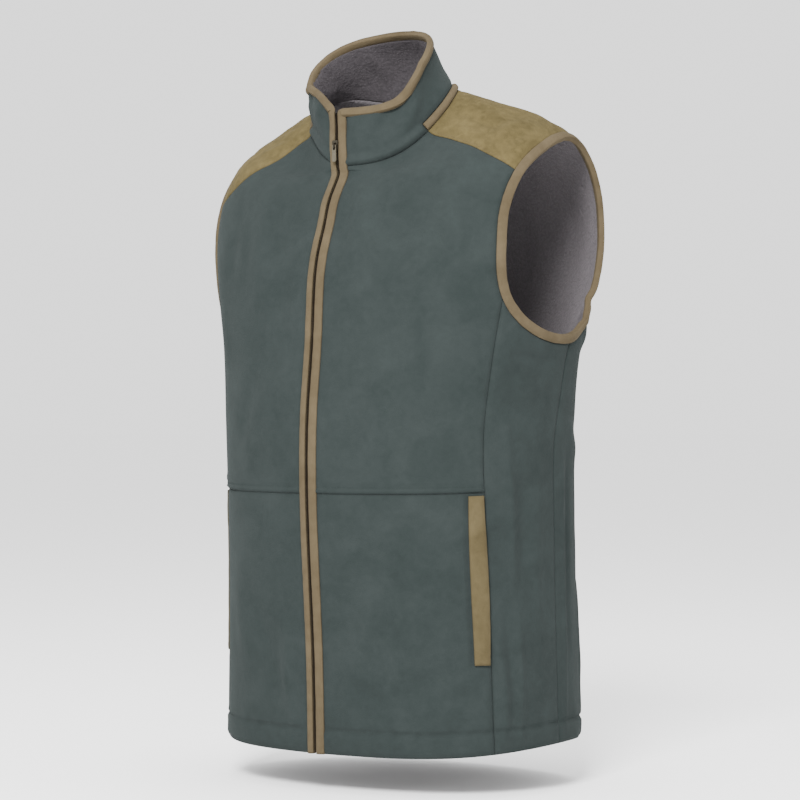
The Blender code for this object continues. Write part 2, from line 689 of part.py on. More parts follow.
def build_slider(material):
    """The slider's face plate, its stem between the two tapes and the arch that holds the pull."""
    plate = local_prism("plate", ((-0.0036, 0.0046), (-0.0020, 0.0056), (0.0020, 0.0056), (0.0036, 0.0046),
                                  (0.0028, -0.0050), (-0.0028, -0.0050)), 0.0017, 0.0029, "out", material)
    stem = local_prism("stem", ((-0.0012, 0.0040), (0.0012, 0.0040), (0.0012, -0.0034), (-0.0012, -0.0034)),
                       -0.0009, 0.0022, "out", material)
    arch_low = local_prism("arch_low", ((-0.0034, 0.0024), (-0.0034, 0.0034), (-0.0024, 0.0058),
                                        (-0.0014, 0.0058), (-0.0014, 0.0024)), -0.0007, 0.0007, "across",
                           material)
    arch_high = local_prism("arch_high", ((0.0014, 0.0024), (0.0014, 0.0058), (0.0022, 0.0058),
                                          (0.0032, 0.0034), (0.0032, 0.0024)), -0.0007, 0.0007, "across",
                            material)
    arch_top = local_prism("arch_top", ((-0.0016, 0.0049), (0.0016, 0.0049), (0.0016, 0.0057),
                                        (-0.0016, 0.0057)), -0.0006, 0.0006, "across", material)
    joined(plate, [stem, arch_low, arch_high, arch_top], "slider")


def build_pull(material):
    """The pull: a bar through the slider's arch, two side rails and the tab below."""
    bar_outline = [(0.00055 * math.cos(math.radians(30 + 45 * k)),
                    0.0040 + 0.00055 * math.sin(math.radians(30 + 45 * k))) for k in range(8)]
    pin = local_prism("pin", bar_outline, -0.0020, 0.0020, "across", material)
    rails = []
    for side in (-1, 1):
        outline = ((side * 0.0012, 0.0007), (side * 0.0023, 0.0007), (side * 0.0025, -0.0046),
                   (side * 0.0012, -0.0046))
        rails.append(local_prism("rail", outline, 0.0035, 0.0045, "out", material))
    foot = -PULL_LENGTH
    tab = local_prism("tab", ((-0.0025, -0.0042), (0.0025, -0.0042), (0.0026, foot + 0.0014),
                              (0.0014, foot), (-0.0014, foot), (-0.0026, foot + 0.0014)),
                      0.0034, 0.0046, "out", material)
    piece = joined(tab, rails + [pin], "pull_tab")
    point, across, up, out = slider_frame()
    pivot = point + out * 0.0040
    for vertex in piece.data.vertices:
        vertex.co = vertex.co - type(vertex.co)(tuple(pivot))
    piece.location = tuple(pivot)


BLOCKS = {label: side_blocks(label) for label in ("left", "right")}


def turned(label, grid):
    """A grid on the side that the label names."""
    return grid if label == "left" else mirrored(grid)


def build_body(fleece, suede):
    """Fronts, side panels, back, yokes and the rolls where the yokes meet the collar."""
    waist_row = len(LOW_ROWS) - 1
    for label, blocks in BLOCKS.items():
        front = blocks["front"]
        yoke = blocks["yoke"]
        wall("front_lower_" + label, [turned(label, front[:waist_row + 1])], fleece)
        wall("front_upper_" + label, [turned(label, front[waist_row:])], fleece)
        wall("side_panel_" + label, [turned(label, blocks["side"])], fleece)
        wall("yoke_" + label, [turned(label, yoke)], suede)
        build_roll("yoke_roll_" + label, label, yoke[:, 0, 0], suede)
    wall("back", [turned(label, blocks["back"]) for label, blocks in BLOCKS.items()], fleece)


def build_roll(name, label, angles, material):
    """The raised roll between yoke and collar: round outside, flat against the lining."""
    grid = pairs(angles[:, None], np.array([ROLL_TOP, (ROLL_TOP + NECK) / 2, NECK]))
    piece = wall(name, [turned(label, grid)], material, crown=ROLL_RISE)
    vertices = piece.data.vertices
    inner = len(vertices) // 2
    for row in range(len(grid)):
        centre = inner + row * 3 + 1
        vertices[centre].co = (vertices[centre - 1].co + vertices[centre + 1].co) / 2


def build_collar(fleece, pile):
    """The stand collar, which is cut away at its foot where a roll lies, and its lining."""
    outside = []
    for label, blocks in BLOCKS.items():
        grid = blocks["collar"]
        roll_start = NECK_STEPS + 1
        roll_end = roll_start + len(blocks["yoke"]) - 1
        pieces = (grid[1:], grid[:2, :roll_start + 1], grid[:2, roll_end:])
        outside += [turned(label, piece) for piece in pieces]
    wall("collar", outside, fleece)
    lining = [turned(label, blocks["collar"][:, 1:]) for label, blocks in BLOCKS.items()]
    wall("collar_lining", lining, pile, LINING_TOP, LINING_BACK)


def build_lining(pile, fleece):
    """The pile inside the body, and the fleece turned up inside the hem."""
    rear = []
    hem = []
    for label, blocks in BLOCKS.items():
        fore = [turned(label, blocks["front"][1:, 1:]), turned(label, blocks["side"][1:])]
        wall("lining_front_" + label, fore, pile, LINING_TOP, LINING_BACK)
        rear += [turned(label, blocks["back"][1:]), turned(label, blocks["yoke"])]
        turns = (blocks["front"][:2, 1:], blocks["side"][:2], blocks["back"][:2])
        hem += [turned(label, grid) for grid in turns]
    wall("lining_back", rear, pile, LINING_TOP, LINING_BACK)
    wall("hem_turning", hem, fleece, LINING_TOP, LINING_BACK)


def main():
    fleece = cloth_material("fleece", (0.088, 0.108, 0.102), 0.95)
    suede = cloth_material("suede_cloth", (0.315, 0.255, 0.135), 0.85)
    pile = cloth_material("pile_lining", (0.098, 0.083, 0.090), 1.0)
    zip_cloth = cloth_material("zip_tape", (0.022, 0.016, 0.010), 0.8)
    metal = metal_material("slider_metal", (0.62, 0.56, 0.44))
    build_body(fleece, suede)
    build_collar(fleece, pile)
    build_lining(pile, fleece)
    for label, side in (("left", 1), ("right", -1)):
        build_front_tape("front_edge_tape_" + label, side, suede)
        build_zip_side("zip_" + label, side, zip_cloth)
        build_arm_tape("armhole_tape_" + label, label, suede)
        build_welt("pocket_welt_" + label, side, suede)
    build_collar_tape(suede)
    build_slider(metal)
    build_pull(metal)


main()
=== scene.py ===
"""Looks of the fleece gilet: cloth with its folds, seams, stitches, tapes, pile lining, zip and slider.

Metres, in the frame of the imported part: the front faces -Y, the wearer's left is +X, up is +Z.
Every cloth piece is drawn on the same surface as its solid: (angle, station) pairs, where 0 degrees is
the front middle, 90 the wearer's left side, and station is the length along the cloth from the hem.
"""
import math
import bpy
import numpy as np
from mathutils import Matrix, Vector
from mathutils.bvhtree import BVHTree
from mathutils.kdtree import KDTree


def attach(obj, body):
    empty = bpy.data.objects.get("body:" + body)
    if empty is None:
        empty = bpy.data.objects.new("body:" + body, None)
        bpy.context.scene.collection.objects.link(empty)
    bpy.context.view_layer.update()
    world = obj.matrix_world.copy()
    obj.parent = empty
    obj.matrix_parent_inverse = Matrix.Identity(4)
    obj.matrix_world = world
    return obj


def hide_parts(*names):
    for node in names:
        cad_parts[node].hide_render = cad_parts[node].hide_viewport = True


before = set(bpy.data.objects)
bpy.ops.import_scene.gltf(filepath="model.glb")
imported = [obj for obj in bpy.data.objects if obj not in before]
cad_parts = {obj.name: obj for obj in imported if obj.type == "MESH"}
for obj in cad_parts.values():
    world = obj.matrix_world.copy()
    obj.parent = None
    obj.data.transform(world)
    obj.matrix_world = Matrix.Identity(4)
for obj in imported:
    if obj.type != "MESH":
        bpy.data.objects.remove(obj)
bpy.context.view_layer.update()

# Sizes of the garment, as in its solids.
CLOTH = 0.0022
LINING_TOP = 0.0026
LINING_BACK = 0.0043
SEAM_INSET = 0.00012
HEM_TURN = 0.0245
COLLAR_EDGE = 0.7865
COLLAR_TOP = 0.7945
ROLL_TOP = 0.7295
FRONT_EDGE = 0.0100
FACING_EDGE = 0.0168
TAPE_INNER = 0.0023
TAPE_OUTER = 0.0112
ARM_TAPE_WIDTH = 0.0087
ZIP_TAPE_EDGE = 0.0163
SLIDER_STATION = 0.738
NECK_STEPS = 5
RELAX_STEPS = 400       # rounds of evening out the inner points of a panel
GIRTH_ROWS = 161        # levels of the table of distances round the garment

# Mesh cells and relief of the cloth, in metres.
CELL = 0.0027
BACK_CELL = 0.0033
LINING_CELL = 0.0038
HEM_CELL = 0.0030
COLLAR_CELL = 0.0024
COLLAR_LINING_CELL = 0.0022
RIM_FALL = 0.0014       # how far a panel's edge sinks into its seam
YOKE_FALL = 0.0009
RIM_WIDTH = 0.0026
THINNEST = 0.0004       # least thickness of a cloth where its face is sunk
FOLD_GAIN = 2.2
FOLD_REACH = 2.6        # half widths of a fold within which it lifts the cloth
QUIET_X = 0.012         # folds are held down this near to the zip, and fade in over the next
QUIET_FADE = 0.022
QUIET_LEAST = 0.12
# Ridges along a line: distance from it, half width and height.
WAIST_STRIP = (0.0030, 0.0017, 0.0013)
WAIST_GROOVE = (0.0066, 0.0010, 0.0006)
WAIST_PUFF = (0.0115, 0.0038, 0.0006)
WAIST_DIP = (-0.006, 0.005, 0.0005)
HEM_STITCH = (0.0, 0.0015, 0.0019)
HEM_END = (0.0, 0.0032, -0.0012)
COLLAR_ROLL = (0.0036, 0.0030, 0.0022)
COLLAR_HOLLOW = (0.0088, 0.0026, 0.0008)
YOKE_CREASE = (0.0042, 0.0011, 0.0004)
WELT_FOLD = (0.045, 0.010, 0.0007)      # the first two in shares of the welt's length
MOUTH_ANGLE = 53.2      # the shaded slit beside a pocket welt, its half width, depth and ends
MOUTH_WIDTH = 0.45
MOUTH_DEPTH = 0.0022
MOUTH_FOOT = 0.0905
MOUTH_TOP = 0.2575
ROLL_HEIGHT = 0.0027
BINDING_CORNER = 0.0075  # radius of the edge tape at the collar's corners
BINDING_STEP = 0.0030
BINDING_RISE = 0.0004   # how far the edge tape's middle lies above the collar's edge
BINDING_NARROW = (0.97, 0.15)   # width on the wearer's left, and what it loses towards the right
BINDING_EVENED = 24     # rounds of softening the bends of the edge tape in front
WELT_FITS = {"left": (0.0, 1.0), "right": (0.7, 0.35)}      # degrees round the garment, share of height
WELT_LAP = 0.3          # degrees that a welt's cloth reaches past its solid on both sides
WELT_BOW_FOOT = 0.075   # station at which the bow of its free edge would end
TOOTH_PITCH = 0.0015
TOOTH_DEPTHS = (0.0012, 0.0028)
TOOTH_INNER = 0.0005    # how far a tooth reaches over the middle, and out from it
TOOTH_OUTER = 0.0018
TOOTH_HALVES = (0.00045, 0.00055)       # half height at its inner and outer end
TEETH_OPEN = 0.0006     # how far the teeth stand apart above the slider
TOOTH_FACES = ((3, 2, 1, 0), (4, 5, 6, 7), (0, 1, 5, 4), (1, 2, 6, 5), (2, 3, 7, 6), (3, 0, 4, 7))
ZIP_PROFILE = ((0.0002, 0.0029), (0.0015, 0.0029), (0.0019, 0.0024), (ZIP_TAPE_EDGE, 0.0025),
               (ZIP_TAPE_EDGE, 0.0033), (0.0019, 0.0035), (0.0002, 0.0035))     # X and depth
STITCH_LENGTH = 0.0024
STITCH_GAP = 0.0010
STITCH_THICK = 0.00026
STITCH_LIFT = 0.00002
STITCH_SHAPE = ((0.35, -0.00012), (1.0, 0.0001), (0.35, -0.00012))  # size and rise along a stitch
WAIST_STITCH = 0.0064   # above the waist seam
YOKE_STITCH = 0.0028    # beside the yoke seams

# Looks: tones of the cloth against the brightness of the studio, lights and camera.
STUDIO = 0.34
CLOTH_SPECULAR = 0.04
STUDIO_MIDDLE = (0, 0, -0.3)
WORLD_STRENGTH = 1.75
LAMPS = (("key", (1.35, -2.8, 1.8), 1.1, 350), ("top", (0.0, 0.3, 2.9), 1.8, 60))  # place, side, watts
FLOOR_LEVEL = -0.70
FLOOR_RADIUS = 30
FLOOR_COLOUR = (0.99, 0.99, 0.99, 1)
CAMERA_TURN = 37        # degrees to the wearer's left
CAMERA_AWAY = 2.99
CAMERA_LEVEL = -0.31134
CAMERA_LENS = 130.514
CAMERA_SHIFT = -0.0025

# Rings, heights and seams of the garment, as in its solids: chart points are (angle, station).
SECTIONS = (
    # name, station, half_width, y_side, y_front, y_back, square_front, square_back
    ("hem", 0.000, 0.1916, 0.0000, -0.1430, 0.1430, 0.020, 0.020),
    ("seat", 0.110, 0.1880, 0.0010, -0.1465, 0.1410, 0.020, 0.020),
    ("waist_seam", 0.259, 0.1850, 0.0020, -0.1560, 0.1380, 0.020, 0.020),
    ("ribs", 0.345, 0.1900, 0.0030, -0.1545, 0.1275, 0.020, 0.020),
    ("armpit", 0.410, 0.1950, 0.0050, -0.1480, 0.1305, 0.025, 0.030),
    ("blades", 0.500, 0.2095, 0.0140, -0.1415, 0.1330, 0.025, 0.060),
    ("shoulder_end", 0.590, 0.1965, 0.0140, -0.1250, 0.1150, 0.040, 0.060),
    ("shoulder_mid", 0.655, 0.1540, 0.0010, -0.1195, 0.0760, 0.030, 0.040),
    ("neck_foot", 0.705, 0.1020, -0.0290, -0.1070, 0.0435, 0.010, 0.010),
    ("neck_seam", 0.722, 0.0843, -0.0335, -0.1070, 0.0300, 0.000, 0.000),
    ("collar_foot", 0.735, 0.0760, -0.0400, -0.1085, 0.0280, 0.000, 0.000),
    ("collar_top", 0.795, 0.0712, -0.0605, -0.0955, -0.0060, 0.005, 0.000),
)
LIFTS = (
    # name, front, front_corner, side, back_corner, back
    ("hem", -0.6620, -0.6605, -0.6526, -0.6560, -0.6610),
    ("seat", -0.5520, -0.5520, -0.5520, -0.5520, -0.5520),
    ("waist_seam", -0.4040, -0.4030, -0.4010, -0.4035, -0.4030),
    ("ribs", -0.3170, -0.3180, -0.3170, -0.3160, -0.3170),
    ("armpit", -0.2560, -0.2530, -0.2520, -0.2520, -0.2525),
    ("blades", -0.1780, -0.1750, -0.1570, -0.1660, -0.1580),
    ("shoulder_end", -0.1270, -0.1070, -0.0615, -0.0765, -0.0910),
    ("shoulder_mid", -0.0980, -0.0775, -0.0300, -0.0360, -0.0435),
    ("neck_foot", -0.0820, -0.0735, -0.0190, -0.0050, -0.0065),
    ("neck_seam", -0.0775, -0.0660, -0.0160, 0.0048, -0.0030),
    ("collar_foot", -0.0610, -0.0498, -0.0075, 0.0164, 0.0145),
    ("collar_top", -0.0203, -0.0115, 0.0260, 0.0585, 0.0670),
)
WAIST = 0.259
NECK = 0.722
ARMHOLE = (
    ("front_seam", 60.0, 0.451), ("front_low", 55.5, 0.486), ("front_mid", 54.2, 0.516),
    ("front_high", 54.5, 0.548), ("front_top", 58.2, 0.574), ("yoke_front", 63.5, 0.590),
    ("yoke_rise", 69.0, 0.599), ("yoke_mid", 79.8, 0.609), ("shoulder", 94.8, 0.616),
    ("shoulder_rear", 107.0, 0.612), ("yoke_back", 117.0, 0.600), ("back_top", 123.5, 0.576),
    ("back_high", 126.6, 0.546), ("back_mid", 126.8, 0.514), ("back_low", 124.0, 0.481),
    ("back_foot", 117.5, 0.444), ("bottom_rear", 108.0, 0.418), ("back_seam", 97.0, 0.408),
    ("bottom", 89.5, 0.407), ("bottom_mid", 79.8, 0.411), ("bottom_front", 70.0, 0.423),
)
FRONT_SEAM = ((60.5, 0.0), (60.3, 0.085), (59.8, 0.259), (58.6, 0.333), (59.2, 0.375), (60.6, 0.410),
              (60.0, 0.451))
BACK_SEAM = ((92.5, 0.0), (92.4, 0.100), (91.8, 0.259), (90.8, 0.315), (92.4, 0.345), (95.2, 0.385),
             (97.0, 0.408))
YOKE_FRONT = {
    "left": ((68.5, 0.722), (66.0, 0.698), (61.3, 0.670), (58.8, 0.627), (63.5, 0.590)),
    "right": ((67.9, 0.722), (65.8, 0.7054), (58.6, 0.6894), (50.4, 0.664), (47.9, 0.638),
              (49.6, 0.605), (53.8, 0.583), (58.2, 0.5689)),
}
# Where the worn neck stands off its even shape: the collar is higher on the wearer's right, and its
# foot is drawn in there; the front falls in below the throat, and the collar's tips lean forward.
NECK_SHIFTS = (
    # name, angle, reach_back, reach_front, sharpness_front, station, reach_down, reach_up, move
    ("right_rise", -42.0, 33.0, 41.0, 1, 0.735, 0.036, 9.0, (0.0, 0.0, 0.021)),
    ("right_foot", -44.0, 46.0, 40.0, 2, 0.718, 0.045, 0.036, (0.0066, 0.0076, 0.0)),
    ("right_yoke", -68.0, 26.0, 30.0, 2, 0.722, 0.050, 0.040, (0.0, 0.0, 0.004)),
    ("throat", 0.0, 42.0, 42.0, 2, 0.668, 0.075, 0.050, (0.0, 0.008, 0.0)),
    ("tips", 0.0, 32.0, 32.0, 2, 0.795, 0.045, 9.0, (0.0, -0.011, 0.0)),
)
YOKE_BACK = ((128.0, 0.722), (126.5, 0.698), (122.5, 0.668), (119.0, 0.632), (117.0, 0.600))
WELT_CORNERS = {"top": 0.2565, "foot": 0.0915, "inner": 54.0, "outer": 59.4, "bow": 1.0}
LOW_ROWS = np.array([0.0, HEM_TURN, 0.085, 0.145, 0.205, WAIST])
UPPER_SHARES = np.array([0, 0.12, 0.24, 0.36, 0.475, 0.585, 0.69, 0.785, 0.87, 0.94, 1.0])
YOKE_SHARES = np.array([0.0, 0.12, 0.26, 0.44, 0.7, 1.0])
COLLAR_ROWS = np.array([NECK, ROLL_TOP, 0.742, 0.763, COLLAR_EDGE])
UPPER_ROWS = WAIST + (NECK - WAIST) * UPPER_SHARES
WAIST_ROW = len(LOW_ROWS) - 1

# Soft ridges (+) and troughs (-) of the worn cloth: height and half width in millimetres, then angle
# and station, in millimetres, of each chart point that it follows. Those of the front and the wearer's
# left are seen in the photograph; the others are of the same kind.
FOLDS = (
    (1.3, 11, 12.5, 655, 10.5, 600, 10, 555, 11.5, 480),
    (-1.0, 13, 25.2, 500, 24.5, 433, 24, 385),
    (-1.2, 14, 7.5, 372, 12.8, 326, 15.5, 290),
    (0.9, 16, 20, 372, 33, 352, 46, 362),
    (-0.9, 15, 28, 322, 41, 330, 53, 344),
    (1.3, 13, 44, 610, 37, 562, 39.5, 505),
    (-1.0, 11, 51, 596, 47.5, 560, 48.5, 520),
    (1.2, 11, 9.5, 40, 14.5, 96, 18.5, 135, 21.5, 178),
    (-1.2, 10, 15, 50, 20.5, 98, 25.5, 140, 28, 190),
    (1.3, 12, 23, 58, 29, 97, 36, 124, 42, 170),
    (-1.0, 12, 34, 50, 41, 80, 49, 88),
    (0.9, 13, 43.5, 140, 46, 108, 50.5, 62),
    (-0.9, 14, 33, 240, 38, 208, 45, 190),
    (1.4, 9, -6.6, 16, -9, 51, -9.8, 95, -11.5, 140),
    (-1.2, 11, -13, 45, -19, 110, -24, 150),
    (1.0, 16, -27, 60, -33, 130, -34, 200),
    (-1.0, 13, -18, 400, -27, 345, -33, 290),
    (1.2, 16, -24.2, 641, -21.5, 562, -21, 499, -19, 432),
    (-1.1, 12, -33, 600, -35, 545, -33, 480),
    (-1.0, 12, -8.5, 520, -11, 460, -9, 400),
    (1.0, 14, -44, 520, -45, 450, -42, 380),
    (1.5, 5.5, 61.8, 124, 64.3, 84, 65.4, 50, 63.8, 6),
    (-1.3, 6, 66.5, 150, 68.2, 92, 68.8, 30),
    (1.5, 5, 72.8, 155, 72, 96, 72, 48, 71.6, 2),
    (1.2, 6, 66.4, 340, 68.5, 290, 71, 232, 70.4, 185),
    (-1.3, 8, 74, 275, 75.5, 215, 74.5, 165),
    (-1.3, 6.5, 66, 396, 77.2, 390, 88.5, 386),
    (1.0, 7, 68, 372, 78, 364, 87, 352),
    (0.9, 8, 81, 330, 83, 250, 81.5, 160, 83, 60),
    (1.5, 4.5, 97.4, 300, 98, 190, 97.5, 111, 97.3, 10),
    (-1.1, 6, 102, 320, 103, 210, 102, 90),
    (1.4, 5.5, -62.5, 110, -65.4, 66, -64.6, 12),
    (-1.2, 6, -67.5, 170, -70, 100, -69, 40),
    (1.4, 5.5, -74, 190, -73, 120, -74, 50, -73.5, 4),
    (1.2, 6.5, -67, 350, -70.5, 280, -69, 220),
    (-1.2, 8, -78, 300, -80, 225, -77.5, 150),
    (-1.2, 7, -69, 398, -80, 388, -90, 384),
    (0.9, 7, -71, 370, -82, 358, -89, 346),
    (1.3, 5, -97, 260, -98.5, 160, -97, 50),
    (-1.6, 17, 163, 610, 159, 530, 164, 440, 170, 380),
    (1.5, 16, 149, 600, 146, 530, 148, 460),
    (-1.5, 16, -162, 590, -160, 520, -166, 430, -172, 372),
    (1.4, 15, -148, 585, -145, 515, -149, 440),
    (-0.6, 11, 101, 345, 116, 322, 134, 318, 150, 330),
    (0.5, 12, 104, 318, 120, 298, 138, 292),
    (-1.2, 11, -102, 330, -118, 310, -137, 312),
    (1.2, 10, -106, 300, -122, 284, -143, 290),
    (-1.4, 12, 152, 276, 168, 262, 184, 266, 203, 282),
    (1.4, 12, 158, 300, 178, 290, 196, 302),
    (1.4, 9, 120, 170, 122, 90, 120.5, 3),
    (-1.2, 10, 131, 190, 133, 110, 130, 30),
    (1.4, 10, 148, 150, 146, 70, 148.5, 3),
    (-1.3, 12, 163, 200, 166, 120, 163, 35),
    (1.3, 11, 181, 170, 178, 90, 180, 3),
    (-1.3, 10, 197, 180, 194, 110, 196.5, 30),
    (1.4, 9, 213, 140, 216, 70, 213.5, 3),
    (-1.1, 10, 228, 200, 231, 120, 228, 40),
    (1.3, 9, 244, 160, 241, 80, 243, 3),
    (-1.3, 8, 114, 470, 124, 440, 138, 428),
    (1.0, 8, 109, 437, 119, 414, 131, 402),
    (-1.2, 8, -115, 468, -125, 442, -140, 432),
    (1.0, 8, -110, 432, -121, 408, -134, 400),
    (-2.6, 11, 64, 783, 49.5, 760, 37.5, 744, 29, 734),
    (1.7, 9, 13, 785, 14.5, 755, 12, 735),
    (1.2, 7, 78, 760, 66, 745, 54, 737),
    (-1.3, 9, -60, 784, -47, 762, -34, 742),
    (1.1, 8, -20, 780, -22, 750),
    (-1.3, 9, 150, 785, 142, 757, 128, 740),
    (1.1, 9, 176, 783, 170, 752),
    (-1.2, 9, -140, 783, -150, 755, -163, 738),
    (1.0, 8, -104, 780, -98, 750),
    (-0.8, 6, 60.5, 618, 68, 628, 79, 634),
    (0.9, 7, 66, 645, 76, 652, 88, 650),
    (-0.8, 6, 87.8, 708, 79, 684, 73, 655),
    (0.8, 6, 74, 706, 69.5, 685, 66, 660),
    (-0.8, 6, -57, 628, -66, 634, -78, 630),
    (0.9, 6, -68, 700, -64, 676, -60, 655),
    (-0.8, 6, -84, 706, -80, 680, -77, 652),
    (0.8, 6, 104, 690, 103, 662, 106, 640),
    (-0.8, 6, -106, 694, -103, 668, -107, 642),
)


def spline_bends(knots, values):
    """Second derivatives of the natural cubic spline through rows of values."""
    steps = np.diff(knots)
    count = len(knots)
    system = np.eye(count)
    right = np.zeros_like(values)
    for i in range(1, count - 1):
        system[i, i - 1:i + 2] = steps[i - 1], 2 * (steps[i - 1] + steps[i]), steps[i]
        rise = (values[i + 1] - values[i]) / steps[i]
        right[i] = 6 * (rise - (values[i] - values[i - 1]) / steps[i - 1])
    return np.linalg.solve(system, right)


def spline_read(knots, values, bends, place):
    """The spline's rows at any places between its first and last knot."""
    place = np.clip(np.asarray(place, float), knots[0], knots[-1])
    i = np.clip(np.searchsorted(knots, place, side="right") - 1, 0, len(knots) - 2)
    step = (knots[i + 1] - knots[i])[..., None]
    low = (knots[i + 1] - place)[..., None] / step
    high = 1 - low
    curve = (low**3 - low) * bends[i] + (high**3 - high) * bends[i + 1]
    return low * values[i] + high * values[i + 1] + curve * step**2 / 6


KNOTS = np.array([row[1] for row in SECTIONS])
RINGS = np.array([ring[2:] + lift[1:] for ring, lift in zip(SECTIONS, LIFTS)])
RING_BENDS = spline_bends(KNOTS, RINGS)
WAVES = np.linalg.inv(np.cos(np.outer(np.radians([0, 45, 90, 135, 180]), np.arange(5))))


def fade(share, power=2):
    """1 at the middle of a reach, 0 at its ends and beyond."""
    return (1 - np.clip(share, -1, 1)**2)**power


def neck_shift(angle, station):
    """How far the worn neck stands off its even shape."""
    around = (np.asarray(angle, float) + 180) % 360 - 180
    around, station = np.broadcast_arrays(around, np.asarray(station, float))
    total = np.zeros(around.shape + (3,))
    for _, middle, back, front, power, level, down, up, move in NECK_SHIFTS:
        off = around - middle
        across = np.where(off < 0, fade(off / back), fade(off / front, power))
        rise = station - level
        along = fade(rise / np.where(rise < 0, down, up))
        total += (across * along)[..., None] * np.array(move)
    return total


def surface(angle, station):
    """Points of the garment's outer surface at angles in degrees and stations in metres."""
    turn = np.radians(np.asarray(angle, float))
    ring = spline_read(KNOTS, RINGS, RING_BENDS, station)
    half, y_side, y_front, y_back, square_front, square_back = (ring[..., k] for k in range(6))
    square = square_front + (square_back - square_front) * (1 - np.cos(turn)) / 2
    x = half * (np.sin(turn) + square * np.sin(3 * turn)) / (1 - square)
    along = (np.cos(turn) - square * np.cos(3 * turn)) / (1 - square)
    y = y_side + np.where(along > 0, y_front - y_side, y_side - y_back) * along
    waves = ring[..., 6:11] @ WAVES.T
    z = sum(waves[..., k] * np.cos(k * turn) for k in range(5))
    return np.stack([x, y, z], axis=-1) + neck_shift(angle, station)


def unit(vectors):
    """Vectors at length 1."""
    return vectors / np.maximum(np.linalg.norm(vectors, axis=-1, keepdims=True), 1e-12)


def outward(angle, station):
    """Unit normals that point out of the garment."""
    angle = np.asarray(angle, float)
    station = np.asarray(station, float)
    around = surface(angle + 0.01, station) - surface(angle - 0.01, station)
    up = surface(angle, station + 1e-4) - surface(angle, station - 1e-4)
    return unit(np.cross(around, up))


def bare(chart):
    """Points of the smooth surface for (angle, station) pairs."""
    chart = np.asarray(chart, float)
    return surface(chart[..., 0], chart[..., 1])


def angle_at(x, station):
    """Angle near the front middle at which the surface has the given X."""
    station = np.asarray(station, float)
    angle = np.full(station.shape, 1.0) * np.degrees(x / 0.15)
    for _ in range(12):
        now = surface(angle, station)[..., 0]
        slope = (surface(angle + 0.01, station)[..., 0] - now) / 0.01
        angle = angle + (x - now) / slope
    return angle


def pairs(angle, station):
    """Chart points from angles and stations of any matching shapes."""
    return np.stack(np.broadcast_arrays(np.asarray(angle, float), np.asarray(station, float)), axis=-1)


def lengths(points):
    """Distance from the first point to each point of a line."""
    steps = np.linalg.norm(np.diff(points, axis=0), axis=-1)
    return np.concatenate([[0], np.cumsum(steps)])


def spaced(line, shares):
    """Points of a chart line at shares of its true length."""
    line = np.asarray(line, float)
    along = lengths(bare(line))
    wanted = np.asarray(shares, float) * along[-1]
    return np.stack([np.interp(wanted, along, line[:, k]) for k in range(2)], axis=-1)


def even(count):
    """Shares from 0 to 1 in even steps."""
    return np.linspace(0, 1, count + 1)


def smooth_line(points, samples=160):
    """A smooth chart line through a few chart points."""
    points = np.asarray(points, float)
    knots = lengths(bare(points))
    return spline_read(knots, points, spline_bends(knots, points), np.linspace(0, knots[-1], samples))


def armhole_loop(samples):
    """The closed armhole line as a spline: a reader of chart points, and its named corners."""
    names = [row[0] for row in ARMHOLE]
    points = np.array([row[1:] for row in ARMHOLE])
    count = len(points)
    tripled = np.concatenate([points, points, points, points[:1]])
    knots = lengths(bare(tripled))
    bends = spline_bends(knots, tripled)
    corners = {name: knots[count + names.index(name)] for name in names}
    loop = knots[2 * count] - knots[count]

    def cut(start, end):
        low = corners[start]
        high = corners[end] if corners[end] > low else corners[end] + loop
        return spline_read(knots, tripled, bends, np.linspace(low, high, samples))

    return cut


def armhole_lines(yoke_end):
    """Spaced points of an armhole's four lines; the front one ends where the yoke's seam does."""
    cut = armhole_loop(120)
    upper = join_lines(cut("front_seam", "yoke_front"), cut("yoke_front", "yoke_back"))
    near = int(np.argmin(np.linalg.norm(bare(upper) - bare(np.array(yoke_end)), axis=-1)))
    upper[near] = yoke_end
    return {
        "front": spaced(upper[:near + 1], even(7)),
        "top": spaced(upper[near:], even(6)),
        "back": spaced(cut("yoke_back", "back_seam"), even(7)),
        "bottom": spaced(cut("back_seam", "front_seam"), even(5)),
    }


def seam_rows(points):
    """A side seam: its points at the low rows, then three even steps up to the armhole."""
    line = smooth_line(points)
    angles = np.interp(LOW_ROWS, line[:, 1], line[:, 0])
    upper = line[line[:, 1] > WAIST]
    upper = np.concatenate([[[angles[-1], WAIST]], upper])
    return pairs(angles, LOW_ROWS), spaced(upper, even(3))


def coons(bottom, top, left, right):
    """Chart grid between four chart lines that share their corners; rows go from bottom to top."""
    u = np.linspace(0, 1, len(bottom))[None, :, None]
    v = np.linspace(0, 1, len(left))[:, None, None]
    across = (1 - v) * bottom[None] + v * top[None]
    upward = (1 - u) * left[:, None] + u * right[:, None]
    corners = (1 - v) * ((1 - u) * bottom[0] + u * bottom[-1]) + v * ((1 - u) * top[0] + u * top[-1])
    return relaxed(across + upward - corners)


def girth_table():
    """Distances round the garment from its front middle, by whole degrees and level stations."""
    stations = np.linspace(0, KNOTS[-1], GIRTH_ROWS)
    ring = surface(np.arange(181)[None, :], stations[:, None])
    steps = np.linalg.norm(np.diff(ring, axis=1), axis=-1)
    return np.concatenate([np.zeros((GIRTH_ROWS, 1)), np.cumsum(steps, axis=1)], axis=1)


GIRTHS = girth_table()
DEGREES = np.arange(181)


def girth_rows(station):
    """Rows of the girth table between its levels."""
    place = np.clip(station / KNOTS[-1], 0, 1) * (GIRTH_ROWS - 1)
    low = np.minimum(place.astype(int), GIRTH_ROWS - 2)
    share = (place - low)[..., None]
    return GIRTHS[low] * (1 - share) + GIRTHS[low + 1] * share


